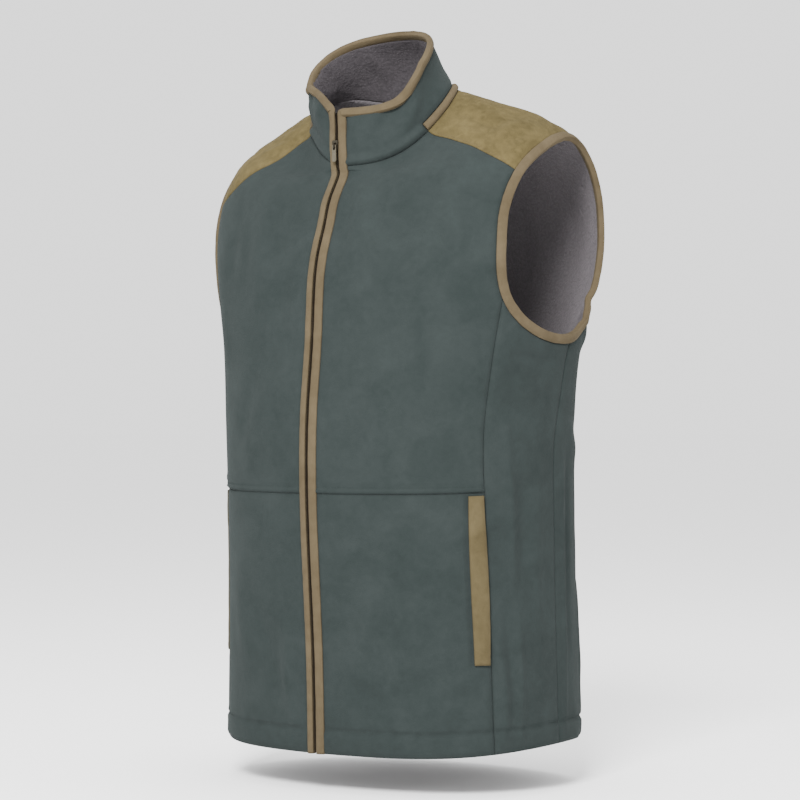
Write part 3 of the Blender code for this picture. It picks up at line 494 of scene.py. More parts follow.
def remapped(chart, back=False):
    """Chart points as (distance round the garment from its front middle, station), or back again."""
    points = chart.reshape(-1, 2)
    around = []
    for place, row in zip(points[:, 0], girth_rows(points[:, 1])):
        known, wanted = (row, DEGREES) if back else (DEGREES, row)
        around.append(np.interp(place, known, wanted))
    return np.stack([around, points[:, 1]], axis=-1).reshape(chart.shape)


def relaxed(grid):
    """Evens out a chart grid's inner points as they lie on the cloth, so that its cells never fold over."""
    flat = remapped(grid)
    for _ in range(RELAX_STEPS):
        across = flat[1:-1, 2:] - flat[1:-1, :-2]
        upward = flat[2:, 1:-1] - flat[:-2, 1:-1]
        wide = (across**2).sum(axis=-1, keepdims=True)
        tall = (upward**2).sum(axis=-1, keepdims=True)
        skew = (across * upward).sum(axis=-1, keepdims=True)
        twist = flat[2:, 2:] - flat[2:, :-2] - flat[:-2, 2:] + flat[:-2, :-2]
        beside = tall * (flat[1:-1, 2:] + flat[1:-1, :-2])
        above = wide * (flat[2:, 1:-1] + flat[:-2, 1:-1])
        flat[1:-1, 1:-1] = (beside + above - skew * twist / 2) / (2 * (wide + tall))
    even_grid = grid.copy()
    even_grid[1:-1, 1:-1] = remapped(flat[1:-1, 1:-1], back=True)
    return even_grid


def join_lines(*lines):
    """Chart lines end to end, each shared corner once."""
    return np.concatenate([lines[0]] + [line[1:] for line in lines[1:]])


def between(first, last, columns):
    """Chart rows that run straight from one chart line to another."""
    share = np.linspace(0, 1, columns)[None, :, None]
    return first[:, None] * (1 - share) + last[:, None] * share


def neck_line(start, end, steps):
    """Even steps along the neck seam between two angles."""
    return spaced(pairs(np.linspace(start, end, 60), NECK), even(steps))


def front_block(front_low, front_up, yoke_front, arm):
    """Chart grid of a front from the lining's edge to the side seam, and the strip up to the front edge."""
    edge_low = pairs(angle_at(FACING_EDGE, LOW_ROWS), LOW_ROWS)
    edge_up = pairs(angle_at(FACING_EDGE, UPPER_ROWS), UPPER_ROWS)
    top = join_lines(neck_line(edge_up[-1, 0], yoke_front[0, 0], NECK_STEPS), yoke_front)
    low = between(edge_low, front_low, len(top))
    up = coons(low[-1], top, edge_up, join_lines(front_up, arm["front"]))
    grid = np.concatenate([low, up[1:]])
    stations = grid[:, 0, 1]
    strip = pairs(angle_at(FRONT_EDGE, stations), stations)
    return np.concatenate([strip[:, None], grid], axis=1)


def side_block(front_low, front_up, back_low, back_up, arm):
    """Chart grid of a side panel, from the front side seam to the back one."""
    low = between(front_low, back_low, len(arm["bottom"]))
    up = coons(low[-1], arm["bottom"][::-1], front_up, back_up)
    return np.concatenate([low, up[1:]])


def back_block(back_low, back_up, yoke_back, arm):
    """Half of the back, from the side seam to the middle."""
    top = join_lines(yoke_back[::-1], neck_line(yoke_back[0, 0], 180, 4))
    low = between(back_low, pairs(180.0, LOW_ROWS), len(top))
    up = coons(low[-1], top, join_lines(back_up, arm["back"][::-1]), pairs(180.0, UPPER_ROWS))
    return np.concatenate([low, up[1:]])


def yoke_block(yoke_front, yoke_back, arm):
    """From the front yoke seam to the back one; the first column lies on the neck seam."""
    return coons(yoke_front, yoke_back, neck_line(yoke_front[0, 0], yoke_back[0, 0], 6), arm["top"])


def side_blocks(label):
    """Chart grids of one half of the garment, laid out as on the wearer's left."""
    arm = armhole_lines(YOKE_FRONT[label][-1])
    front_low, front_up = seam_rows(FRONT_SEAM)
    back_low, back_up = seam_rows(BACK_SEAM)
    yoke_front = spaced(smooth_line(YOKE_FRONT[label]), YOKE_SHARES)
    yoke_back = spaced(smooth_line(YOKE_BACK), YOKE_SHARES)
    blocks = {
        "front": front_block(front_low, front_up, yoke_front, arm),
        "side": side_block(front_low, front_up, back_low, back_up, arm),
        "back": back_block(back_low, back_up, yoke_back, arm),
        "yoke": yoke_block(yoke_front, yoke_back, arm),
    }
    neck = join_lines(blocks["front"][-1, :NECK_STEPS + 2], blocks["yoke"][:, 0], blocks["back"][-1, 5:])
    angles = np.repeat(neck[None, :, 0], len(COLLAR_ROWS), axis=0)
    for column, x in ((0, FRONT_EDGE), (1, FACING_EDGE)):
        angles[:, column] = angle_at(x, COLLAR_ROWS)
    blocks["collar"] = pairs(angles, COLLAR_ROWS[:, None])
    return blocks


BLOCKS = {label: side_blocks(label) for label in ("left", "right")}
SIDES = {"left": 1, "right": -1}
ROLL_START = NECK_STEPS + 1
ROLL_END = ROLL_START + 6


def turned(label, grid):
    """A grid on the side that the label names."""
    return grid if label == "left" else (grid * np.array([-1.0, 1.0]))[:, ::-1]


def hashed(cells):
    """Repeatable numbers from 0 to 1 for whole-numbered cells."""
    mixed = cells[..., 0] * 127.1 + cells[..., 1] * 311.7 + cells[..., 2] * 74.7
    value = np.sin(mixed) * 43758.5453
    return value - np.floor(value)


def noise(points, scale):
    """Smooth value noise from -1 to 1 at world points; scale is cells to the metre."""
    spot = np.asarray(points, float) * scale
    cell = np.floor(spot)
    part = spot - cell
    part = part * part * (3 - 2 * part)
    total = 0.0
    for corner in np.ndindex(2, 2, 2):
        corner = np.array(corner)
        weight = np.prod(np.where(corner == 1, part, 1 - part), axis=-1)
        total = total + weight * hashed(cell + corner)
    return total * 2 - 1


def near_line(points, line, reach):
    """For points within reach of a line: their indices, distances from it and shares of its length."""
    low = line.min(axis=0) - reach
    high = line.max(axis=0) + reach
    chosen = np.nonzero(np.all((points > low) & (points < high), axis=-1))[0]
    if not len(chosen):
        return chosen, None, None
    spot = points[chosen]
    best = np.full(len(chosen), np.inf)
    share = np.zeros(len(chosen))
    along = lengths(line)
    for k in range(len(line) - 1):
        step = line[k + 1] - line[k]
        t = np.clip((spot - line[k]) @ step / (step @ step), 0, 1)
        apart = np.linalg.norm(spot - line[k] - t[:, None] * step, axis=-1)
        closer = apart < best
        best[closer] = apart[closer]
        share[closer] = ((along[k] + t * (along[k + 1] - along[k])) / along[-1])[closer]
    return chosen, best, share


FOLD_LINES = [(fold[0] / 1000, fold[1] / 1000,
               bare(smooth_line(np.reshape(fold[2:], (-1, 2)) / (1, 1000), 14))) for fold in FOLDS]


def folds(points):
    """How far the worn cloth's folds lift each point of the smooth surface."""
    flat = points.reshape(-1, 3)
    lift = np.zeros(len(flat))
    for height, width, line in FOLD_LINES:
        chosen, apart, share = near_line(flat, line, FOLD_REACH * width)
        if len(chosen):
            ends = np.sin(np.pi * np.clip(share, 0.0, 1.0)) ** 0.7
            wander = 1 + 0.35 * noise(flat[chosen], 45)
            lift[chosen] += FOLD_GAIN * height * ends * wander * np.exp(-(apart / width) ** 2)
    lift += 0.00045 * noise(flat, 17) + 0.00022 * noise(flat + 3.7, 42)
    quiet = np.clip((np.abs(flat[:, 0]) - QUIET_X) / QUIET_FADE, QUIET_LEAST, 1)
    return (lift * quiet).reshape(points.shape[:-1])


def cloth_points(chart, depth=0.0):
    """World points of the worn cloth for chart pairs, at a depth under its folded outer face."""
    chart = np.asarray(chart, float)
    points = bare(chart)
    lift = folds(points) - np.asarray(depth, float)
    return points + outward(chart[..., 0], chart[..., 1]) * lift[..., None]


def drawn(values, breaks, counts):
    """Rows redrawn by splines between breaks, each coarse step cut into its own count of fine ones."""
    pieces = []
    for start, end in zip(breaks[:-1], breaks[1:]):
        knots = np.arange(start, end + 1, dtype=float)
        part = values[start:end + 1]
        places = [start + k + np.arange(counts[start + k]) / counts[start + k] for k in range(end - start)]
        pieces.append(spline_read(knots, part, spline_bends(knots, part), np.concatenate(places)))
    pieces.append(values[-1:])
    return np.concatenate(pieces)


def fine(grid, row_breaks=(), column_breaks=(), cell=CELL):
    """A coarse chart grid redrawn with cells of about the given size."""
    points = bare(grid)
    tall = np.linalg.norm(np.diff(points, axis=0), axis=-1).max(axis=1)
    wide = np.linalg.norm(np.diff(points, axis=1), axis=-1).max(axis=0)
    rows = np.maximum(np.ceil(tall / cell), 1).astype(int)
    columns = np.maximum(np.ceil(wide / cell), 1).astype(int)
    height, width = grid.shape[:2]
    flat = grid.reshape(height, width * 2)
    flat = drawn(flat, [0, *row_breaks, height - 1], rows)
    turned_grid = flat.reshape(-1, width, 2).transpose(1, 0, 2).reshape(width, -1)
    turned_grid = drawn(turned_grid, [0, *column_breaks, width - 1], columns)
    return turned_grid.reshape(turned_grid.shape[0], -1, 2).transpose(1, 0, 2)


def new_mesh(name, points, faces, material, body="garment", slot=None):
    """A smooth-shaded piece of the scene that moves with its body."""
    mesh = bpy.data.meshes.new(name)
    mesh.from_pydata([tuple(map(float, p)) for p in points], [], [tuple(map(int, f)) for f in faces])
    mesh.materials.append(material)
    mesh.polygons.foreach_set("use_smooth", [True] * len(mesh.polygons))
    mesh.update()
    piece = bpy.data.objects.new(name, mesh)
    bpy.context.scene.collection.objects.link(piece)
    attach(piece, body)
    return piece


def grid_quads(rows, columns, start=0, closed_rows=False, closed_columns=False):
    """Quads between the points of a grid whose points are numbered row by row."""
    quads = []
    for r in range(rows if closed_rows else rows - 1):
        here = start + r * columns
        there = start + (r + 1) % rows * columns
        for c in range(columns if closed_columns else columns - 1):
            after = (c + 1) % columns
            quads.append((here + c, here + after, there + after, there + c))
    return quads


def numbered(grids):
    """The shape and the first point's number of each of several grids that follow each other."""
    start = 0
    for grid in grids:
        rows, columns = grid.shape[:2]
        yield rows, columns, start
        start += rows * columns


def welded(grids):
    """Unlike chart points of several grids, and the quads between them."""
    charts = np.concatenate([grid.reshape(-1, 2) for grid in grids])
    points = bare(charts)
    keep = np.arange(len(charts))
    tree = KDTree(len(points))
    rims = []
    for rows, columns, start in numbered(grids):
        index = start + np.arange(rows * columns).reshape(rows, columns)
        rims += [index[0], index[-1], index[:, 0], index[:, -1]]
    rim = np.unique(np.concatenate(rims))
    for i in rim:
        tree.insert(points[i], int(i))
    tree.balance()
    for i in rim:
        keep[i] = min(found[1] for found in tree.find_range(points[i], 2e-5))
    used, number = np.unique(keep, return_inverse=True)
    quads = [number[np.array(grid_quads(*shape))] for shape in numbered(grids)]
    return charts[used], np.concatenate(quads)


def rim_of(quads):
    """Directed edges that belong to one quad only."""
    edges = np.concatenate([quads[:, [0, 1]], quads[:, [1, 2]], quads[:, [2, 3]], quads[:, [3, 0]]])
    size = int(edges.max()) + 1
    ways = edges[:, 0].astype(np.int64) * size + edges[:, 1]
    back = edges[:, 1].astype(np.int64) * size + edges[:, 0]
    return edges[~np.isin(ways, back)]


def rim_distance(points, edges):
    """Distance of each point from the nearest rim point, with the rim sampled finely."""
    starts = points[edges[:, 0]]
    ends = points[edges[:, 1]]
    samples = np.concatenate([starts + (ends - starts) * t for t in (0, 0.25, 0.5, 0.75)])
    tree = KDTree(len(samples))
    for i, sample in enumerate(samples):
        tree.insert(sample, i)
    tree.balance()
    return np.array([tree.find(point)[2] for point in points])


def shell(name, grids, material, slot, outer=0.0, inner=CLOTH, relief=None, fall=RIM_FALL,
          inner_relief=None):
    """A thin closed shell of cloth over chart grids, its edges sunk into its seams."""
    charts, quads = welded(grids)
    points = bare(charts)
    normals = outward(charts[:, 0], charts[:, 1])
    lift = folds(points)
    edges = rim_of(quads)
    distance = rim_distance(points, edges)
    pull = np.zeros_like(points)
    for a, b in edges:
        along = unit(points[b] - points[a])
        for end in (a, b):
            pull[end] += np.cross(normals[end], along)
    sunk = fall * np.exp(-(distance / RIM_WIDTH) ** 2)
    raised = np.zeros(len(points)) if relief is None else relief(points, charts, distance)
    under = np.zeros(len(points)) if inner_relief is None else inner_relief(points, charts, distance)
    inset = SEAM_INSET if outer < LINING_TOP else 0.0
    moved = points + inset * unit(pull) * (np.linalg.norm(pull, axis=-1, keepdims=True) > 0.1)
    rise = np.maximum(raised - sunk - outer, THINNEST - inner)
    top = moved + normals * (lift + rise)[:, None]
    bottom = moved + normals * (lift - inner + under)[:, None]
    count = len(points)
    walls = np.stack([edges[:, 1], edges[:, 0], edges[:, 0] + count, edges[:, 1] + count], axis=-1)
    faces = np.concatenate([quads, quads[:, ::-1] + count, walls])
    return new_mesh(name, np.concatenate([top, bottom]), faces, material, slot=slot)


def tube(name, rings, material, slot=None, closed=False):
    """A closed solid through rings of points; an open one gets end caps."""
    rings = np.asarray(rings, float)
    count, sides = rings.shape[:2]
    faces = grid_quads(count, sides, 0, closed, True)
    if not closed:
        faces.append(tuple(range(sides))[::-1])
        faces.append(tuple((count - 1) * sides + k for k in range(sides)))
    piece = new_mesh(name, rings.reshape(-1, 3), faces, material, slot=slot)
    mesh = piece.data
    mesh.calc_loop_triangles()
    corners = np.array([v.co[:] for v in mesh.vertices])[[t.vertices[:] for t in mesh.loop_triangles]]
    if np.einsum("ij,ij->i", corners[:, 0], np.cross(corners[:, 1], corners[:, 2])).sum() < 0:
        mesh.flip_normals()
    return piece


# ---------------------------------------------------------------- materials
def principled(name):
    """A new material, its node tree and its shader."""
    material = bpy.data.materials.new(name)
    material.use_nodes = True
    return material, material.node_tree, material.node_tree.nodes["Principled BSDF"]


def node(tree, kind, **inputs):
    """A new node with values on its inputs; an underscore in a key stands for a space."""
    made = tree.nodes.new(kind)
    for key, value in inputs.items():
        made.inputs[key.replace("_", " ")].default_value = value
    return made


def scaled_noise(tree, coordinates, scale, detail=2.0, roughness=0.5, distortion=0.0):
    """A noise texture in the piece's own coordinates."""
    made = node(tree, "ShaderNodeTexNoise", Scale=scale, Detail=detail, Roughness=roughness,
                Distortion=distortion)
    tree.links.new(coordinates.outputs["Object"], made.inputs["Vector"])
    return made.outputs["Fac"]


def ramp(tree, value, low, high, from_min=0.3, from_max=0.7):
    """A value spread between two others."""
    made = node(tree, "ShaderNodeMapRange", From_Min=from_min, From_Max=from_max, To_Min=low, To_Max=high)
    tree.links.new(value, made.inputs["Value"])
    return made.outputs["Result"]


def mixed(tree, factor, first, second):
    """A colour between two others, by a factor from a node."""
    made = tree.nodes.new("ShaderNodeMix")
    made.data_type = "RGBA"
    tree.links.new(factor, made.inputs[0])
    made.inputs[6].default_value = first
    made.inputs[7].default_value = second
    return made.outputs[2]


def added(tree, first, second, factor):
    """first + second * factor."""
    made = tree.nodes.new("ShaderNodeMath")
    made.operation = "MULTIPLY_ADD"
    tree.links.new(second, made.inputs[0])
    made.inputs[1].default_value = factor
    tree.links.new(first, made.inputs[2])
    return made.outputs["Value"]


def bumped(tree, shader, height, distance, strength=1.0):
    """Gives a shader the fine relief of a height pattern."""
    made = node(tree, "ShaderNodeBump", Strength=strength, Distance=distance)
    tree.links.new(height, made.inputs["Height"])
    tree.links.new(made.outputs["Normal"], shader.inputs["Normal"])


def cloth_base(name, roughness, sheen, sheen_tint, sheen_roughness=0.5):
    """A dull cloth with a soft sheen, and the coordinates for its pattern."""
    material, tree, shader = principled(name)
    for key, value in (
        ("Roughness", roughness), ("Specular IOR Level", CLOTH_SPECULAR), ("Sheen Weight", sheen * STUDIO),
        ("Sheen Roughness", sheen_roughness), ("Sheen Tint", (*sheen_tint, 1)),
    ):
        shader.inputs[key].default_value = value
    return material, tree, shader, tree.nodes.new("ShaderNodeTexCoord")


def toned(colour):
    """A colour as the studio's strong light needs it."""
    return (*[STUDIO * c for c in colour], 1)


def napped(name, dark, light, sheen_tint, sheen=0.25, bump=0.00035, mottle=1.0):
    """Short napped cloth: brushed patches, fine flecks and a soft uneven pile."""
    material, tree, shader, coordinates = cloth_base(name, 0.92, sheen, sheen_tint)
    patches = scaled_noise(tree, coordinates, 22, 4, 0.55, 0.6)
    brushed = scaled_noise(tree, coordinates, 140, 3, 0.6, 0.4)
    flecks = scaled_noise(tree, coordinates, 1500, 2, 0.6)
    tone = added(tree, patches, brushed, 0.55 * mottle)
    tone = added(tree, tone, flecks, 0.35)
    factor = ramp(tree, tone, 0.0, 1.0, 0.62, 1.28)
    colour = mixed(tree, factor, toned(dark), toned(light))
    tree.links.new(colour, shader.inputs["Base Color"])
    height = added(tree, flecks, brushed, 0.8)
    height = added(tree, height, scaled_noise(tree, coordinates, 560, 3, 0.6), 0.9)
    bumped(tree, shader, height, bump, 0.8)
    return material


def pile(name, dark, light):
    """Sherpa pile: small curled tufts, darker between them as painted shade in the pile's hollows."""
    material, tree, shader, coordinates = cloth_base(name, 1.0, 0.35, (0.62, 0.56, 0.60), 0.6)
    warp = scaled_noise(tree, coordinates, 240, 2, 0.5)
    shift = tree.nodes.new("ShaderNodeVectorMath")
    shift.operation = "SCALE"
    tree.links.new(warp, shift.inputs["Scale"])
    shift.inputs[0].default_value = (0.0035, 0.0035, 0.0035)
    total = tree.nodes.new("ShaderNodeVectorMath")
    total.operation = "ADD"
    tree.links.new(coordinates.outputs["Object"], total.inputs[0])
    tree.links.new(shift.outputs["Vector"], total.inputs[1])
    tufts = node(tree, "ShaderNodeTexVoronoi", Scale=420.0)
    tufts.feature = "SMOOTH_F1"
    tufts.inputs["Smoothness"].default_value = 0.6
    tree.links.new(total.outputs["Vector"], tufts.inputs["Vector"])
    curl = scaled_noise(tree, coordinates, 900, 3, 0.65, 1.2)
    patches = scaled_noise(tree, coordinates, 30, 3, 0.5)
    # Painted shade: the colour is darker away from each tuft's middle, where the pile's height is lowest.
    tone = ramp(tree, tufts.outputs["Distance"], 0.8, 0.2, 0.15, 0.75)
    tone = added(tree, tone, curl, 0.6)
    tone = added(tree, tone, patches, 0.35)
    factor = ramp(tree, tone, 0.0, 1.0, 0.55, 1.45)
    tree.links.new(mixed(tree, factor, toned(dark), toned(light)), shader.inputs["Base Color"])
    height = ramp(tree, tufts.outputs["Distance"], 1.0, 0.0, 0.0, 0.8)
    height = added(tree, height, curl, 0.45)
    bumped(tree, shader, height, 0.0007, 0.8)
    return material


def metal(name, colour):
    """Worn metal with finely mottled tone and gloss."""
    material, tree, shader = principled(name)
    coordinates = tree.nodes.new("ShaderNodeTexCoord")
    wear = scaled_noise(tree, coordinates, 900, 3, 0.6)
    dark = tuple(0.72 * c for c in colour)
    tree.links.new(mixed(tree, wear, toned(dark), toned(colour)), shader.inputs["Base Color"])
    shader.inputs["Metallic"].default_value = 0.9
    tree.links.new(ramp(tree, wear, 0.24, 0.42), shader.inputs["Roughness"])
    bumped(tree, shader, scaled_noise(tree, coordinates, 2200, 2), 0.00006)
    return material


# Name, dark and light colour, tint of the sheen, sheen, depth of the nap, and how mottled it is.
FLEECE = napped("fleece_cloth", (0.040, 0.052, 0.050), (0.060, 0.075, 0.073), (0.50, 0.57, 0.56), 0.10)
YOKE_SUEDE = napped("yoke_suede", (0.092, 0.072, 0.029), (0.236, 0.184, 0.080), (0.80, 0.69, 0.42),
                    0.10, 0.0002, 1.3)
WELT_SUEDE = napped("welt_suede", (0.128, 0.101, 0.049), (0.216, 0.172, 0.090), (0.80, 0.69, 0.46),
                    0.10, 0.0002)
TAPE = napped("edge_tape_cloth", (0.134, 0.102, 0.058), (0.216, 0.168, 0.100), (0.80, 0.70, 0.54),
              0.10, 0.0002)
# The body lining and the collar's lining are one pile cloth in two copies: the body's lighter copy stands
# for the lit lining in the armholes, and the collar's darker copy is painted shade inside the collar.
PILE = pile("pile_cloth", (0.210, 0.192, 0.202), (0.280, 0.257, 0.270))
COLLAR_PILE_PAINTED_SHADE = pile("collar_pile_painted_shade", (0.078, 0.070, 0.075), (0.128, 0.115, 0.124))
ZIP_CLOTH = napped("zip_tape_cloth", (0.012, 0.009, 0.006), (0.030, 0.022, 0.015), (0.3, 0.25, 0.2),
                   0.1, 0.0001)
TEETH = napped("zip_teeth", (0.016, 0.012, 0.008), (0.040, 0.030, 0.020), (0.3, 0.3, 0.3), 0.0, 0.00003)
THREAD = napped("green_thread", (0.030, 0.041, 0.038), (0.060, 0.078, 0.073), (0.5, 0.6, 0.6), 0.2, 0.0001)
TAN_THREAD = napped("tan_thread", (0.150, 0.110, 0.060), (0.240, 0.185, 0.105), (0.8, 0.7, 0.5),
                    0.2, 0.0001)
SLIDER_METAL = metal("slider_metal", (0.16, 0.14, 0.10))
PULL_METAL = metal("pull_metal", (0.44, 0.39, 0.29))
THREADS = {"green": (THREAD, "fleece"), "tan": (TAN_THREAD, "suede_cloth")}


# ---------------------------------------------------------------- seams and their relief
def ridge(distance, centre, width, height):
    """A soft ridge along a line, by the distance from it."""
    return height * np.exp(-((distance - centre) / width) ** 2)


def front_relief(points, charts, distance):
    """Raised strip over the waist seam, the pocket's mouth, the hem, and slight gathers along them."""
    gather = 1 + 0.5 * noise(points, 90)
    angle = np.abs(charts[:, 0])
    station = charts[:, 1]
    over = station - WAIST
    strip = np.where(over > 0, ridge(over, *WAIST_STRIP) * gather, 0)
    groove = -ridge(over, *WAIST_GROOVE) * gather
    puffed = ridge(over, *WAIST_PUFF) * gather - ridge(over, *WAIST_DIP) * gather
    mouth = -MOUTH_DEPTH * np.exp(-((angle - MOUTH_ANGLE) / MOUTH_WIDTH) ** 2)
    mouth *= np.clip((station - MOUTH_FOOT) / 0.002, 0, 1) * np.clip((MOUTH_TOP - station) / 0.002, 0, 1)
    foot = -0.0016 * np.exp(-((station - 0.0892) / 0.0011) ** 2)
    foot *= np.clip(1 - (angle - 56.5) ** 2 / 16, 0, 1)
    return strip + groove + puffed + mouth + foot + hem_relief(points, charts)


def hem_relief(points, charts, distance=None):
    """The hem's stitch line with its puckers, and the rounded lower edge."""
    gather = 1 + 0.75 * noise(points, 75)
    over = charts[:, 1] - HEM_TURN
    stitch = -ridge(over, *HEM_STITCH) * gather
    bulge = np.where(over < 0, 0.0008 * np.clip(-over / 0.006, 0, 1), 0)
    end = ridge(charts[:, 1], *HEM_END)
    return stitch + bulge + end + 0.0009 * noise(points, 85) * np.exp(-(over / 0.010) ** 2)


def collar_relief(points, charts, distance):
    """The collar's foot, which rolls over the front neck seam."""
    over = charts[:, 1] - NECK
    angle = np.abs(charts[:, 0])
    outside = np.clip((angle - 66) / 3, 0, 1) * np.clip((131 - angle) / 3, 0, 1)
    roll = ridge(over, *COLLAR_ROLL) - ridge(over, *COLLAR_HOLLOW)
    return roll * (1 - outside) * (1 + 0.25 * noise(points, 60))


def yoke_relief(points, charts, distance):
    """A padded yoke with a crease inside its seams and a softly uneven face."""
    soft = 0.0006 * noise(points, 60) + 0.00025 * noise(points + 1.3, 170)
    puffed = 0.0013 * (1 - np.exp(-(distance / 0.009) ** 2))
    crease = -ridge(distance, *YOKE_CREASE) * (1 + 0.5 * noise(points, 50))
    return soft * np.clip(distance / 0.006, 0, 1) + puffed + crease


def pile_relief(points, charts, distance):
    """Tufts of the pile on its inner face."""
    tufts = noise(points, 240) + 0.6 * noise(points + 5.1, 430)
    return -0.0005 - 0.00045 * tufts


# ---------------------------------------------------------------- the cloth pieces
def add_cloth(made, node_name, grids, material, slot, ending="_cloth", **look):
    """A cut piece of cloth, kept under the name of the solid that it stands for."""
    made[node_name] = shell(node_name + ending, grids, material, slot, **look)


def body_pieces(made):
    """Fronts, sides, back, yokes and the outside of the collar."""
    front_look = {"material": FLEECE, "slot": "fleece", "relief": front_relief}
    hem_look = {"material": FLEECE, "slot": "fleece", "relief": hem_relief}
    yoke_look = {"material": YOKE_SUEDE, "slot": "suede_cloth", "relief": yoke_relief, "fall": YOKE_FALL}
    back = []
    collar = []
    for label, blocks in BLOCKS.items():
        for kind, grid, look in (
            ("front_lower", fine(blocks["front"][:WAIST_ROW + 1], (), (1, ROLL_START)), front_look),
            ("front_upper", fine(blocks["front"][WAIST_ROW:], (3,), (1, ROLL_START)), front_look),
            ("side_panel", fine(blocks["side"]), hem_look),
            ("yoke", fine(blocks["yoke"]), yoke_look),
        ):
            add_cloth(made, kind + "_" + label, [turned(label, grid)], **look)
        back.append(turned(label, fine(blocks["back"], (WAIST_ROW + 3,), (5,), BACK_CELL)))
        grid = blocks["collar"]
        whole = fine(grid, (1,), (1, ROLL_START, ROLL_END), COLLAR_CELL)
        rows = int(np.argmin(np.abs(whole[:, 0, 1] - ROLL_TOP)))
        start = int(np.argmin(np.abs(whole[0, :, 0] - grid[0, ROLL_START, 0])))
        end = int(np.argmin(np.abs(whole[0, :, 0] - grid[0, ROLL_END, 0])))
        for part in (whole[rows:], whole[:rows + 1, :start + 1], whole[:rows + 1, end:]):
            collar.append(turned(label, part))
    add_cloth(made, "back", back, **hem_look)
    add_cloth(made, "collar", collar, FLEECE, "fleece", relief=collar_relief)


def roll_relief(points, charts, distance):
    """The round of a padded roll between the neck seam and its upper edge."""
    across = (charts[:, 1] - NECK) / (ROLL_TOP - NECK) * 2 - 1
    return ROLL_HEIGHT * np.sqrt(np.clip(1 - across ** 2, 0, 1)) * (1 + 0.12 * noise(points, 110)) - 0.0003


def rolls(made):
    """The padded rolls between the yokes and the collar."""
    for label, blocks in BLOCKS.items():
        angles = drawn(blocks["yoke"][:, 0, :1], [0, 6], np.full(6, 12))[:, 0]
        grid = pairs(angles[:, None], ROLL_TOP + (NECK - ROLL_TOP) * even(10))
        add_cloth(made, "yoke_roll_" + label, [turned(label, grid)], TAPE, "suede_cloth",
                  relief=roll_relief, fall=0.0)


def linings(made):
    """The pile inside, and the fleece turned up inside the hem."""
    inside = {"outer": LINING_TOP, "inner": LINING_BACK, "fall": 0.0}
    piled = {"slot": "pile_lining", "ending": "_pile", "inner_relief": pile_relief, **inside}
    rear = []
    hem = []
    collar = []
    for label, blocks in BLOCKS.items():
        front, side, back = (blocks[name] for name in ("front", "side", "back"))
        grids = [fine(front[1:, 1:], (7,), (5,), LINING_CELL), fine(side[1:], cell=LINING_CELL)]
        add_cloth(made, "lining_front_" + label, [turned(label, grid) for grid in grids], PILE, **piled)
        rear.append(turned(label, fine(back[1:], (7,), (5,), LINING_CELL)))
        rear.append(turned(label, fine(blocks["yoke"], cell=LINING_CELL)))
        collar.append(turned(label, fine(blocks["collar"][:, 1:], (), (5, 11), COLLAR_LINING_CELL)))
        for part, cut in ((front[:2, 1:], (5,)), (side[:2], ()), (back[:2], (5,))):
            hem.append(turned(label, fine(part, (), cut, HEM_CELL)))
    add_cloth(made, "lining_back", rear, PILE, **piled)
    # The collar's lining gets the darker copy of the pile: painted shade inside the collar.
    add_cloth(made, "collar_lining", collar, COLLAR_PILE_PAINTED_SHADE, **piled)
    add_cloth(made, "hem_turning", hem, FLEECE, "fleece", **inside)


def section_ring(centre, side, normal, profile, scale=1.0):
    """World points of a strip's cross section: (across, height) pairs in millimetres."""
    return [centre + side * (w * scale / 1000) + normal * (d / 1000) for w, d in profile]


def evened(values, rounds):
    """A row of vectors with its bends softened; the ends stay."""
    values = values.copy()
    for _ in range(rounds):
        values[1:-1] = (values[:-2] + 2 * values[1:-1] + values[2:]) / 4
    return values


def strip_frames(chart, closed=False):
    """Points, normals and sideways vectors along a chart line on the folded cloth."""
    points = cloth_points(chart)
    normals = outward(chart[:, 0], chart[:, 1])
    if closed:
        along = unit(np.roll(points, -1, axis=0) - np.roll(points, 1, axis=0))
    else:
        along = unit(np.gradient(points, axis=0))
    return points, normals, unit(np.cross(normals, along))


def binding_profile(width, back, rise=1.5):
    """Cross section of a tape folded over an edge; the edge lies at 0 and the cloth towards +."""
    return (
        (0.30, -0.35), (-0.25, 0.10), (-0.35, 0.60), (0.10, rise - 0.35), (1.10, rise - 0.02),
        (width * 0.35, rise + 0.40), (width * 0.62, rise + 0.22), (width * 0.80, rise - 0.40),
        (width * 0.88, rise - 1.00), (width * 0.94, rise - 1.15), (width, 0.05), (width, -0.6),
        (width, back + 0.5), (width * 0.85, back - 0.5), (width * 0.5, back - 0.85),
        (1.2, back - 0.75), (0.05, back - 0.2), (-0.20, back + 0.6),
    )


def puckered(rings, seed, amount=0.00022, pitch=150):
    """Small uneven gathers along a sewn tape."""
    rings = np.asarray(rings)
    outside = unit(rings - rings.mean(axis=1, keepdims=True))
    return rings + amount * noise(rings + seed, pitch)[..., None] * outside


def arm_tapes(made):
    """The tapes folded over the edges of the armholes."""
    cut = armhole_loop(60)
    names = ("front_seam", "front_top", "shoulder", "back_high", "back_foot", "front_seam")
    loop = join_lines(*[cut(a, b) for a, b in zip(names[:-1], names[1:])])[:-1]
    whole = np.concatenate([loop, loop[:1]])
    loop = spaced(whole, even(250))[:-1]
    profile = binding_profile(ARM_TAPE_WIDTH * 1000 + 0.5, -LINING_BACK * 1000)
    for label, side in SIDES.items():
        points, normals, across = strip_frames(loop * np.array([side, 1.0]), closed=True)
        if np.dot(across[0], points.mean(axis=0) - points[0]) > 0:
            across = -across
        rings = [section_ring(p - s * ARM_TAPE_WIDTH, s, n, profile)
                 for p, s, n in zip(points, across, normals)]
        made["armhole_tape_" + label] = tube("armhole_tape_" + label + "_cloth", puckered(rings, side),
                                             TAPE, "suede_cloth", closed=True)


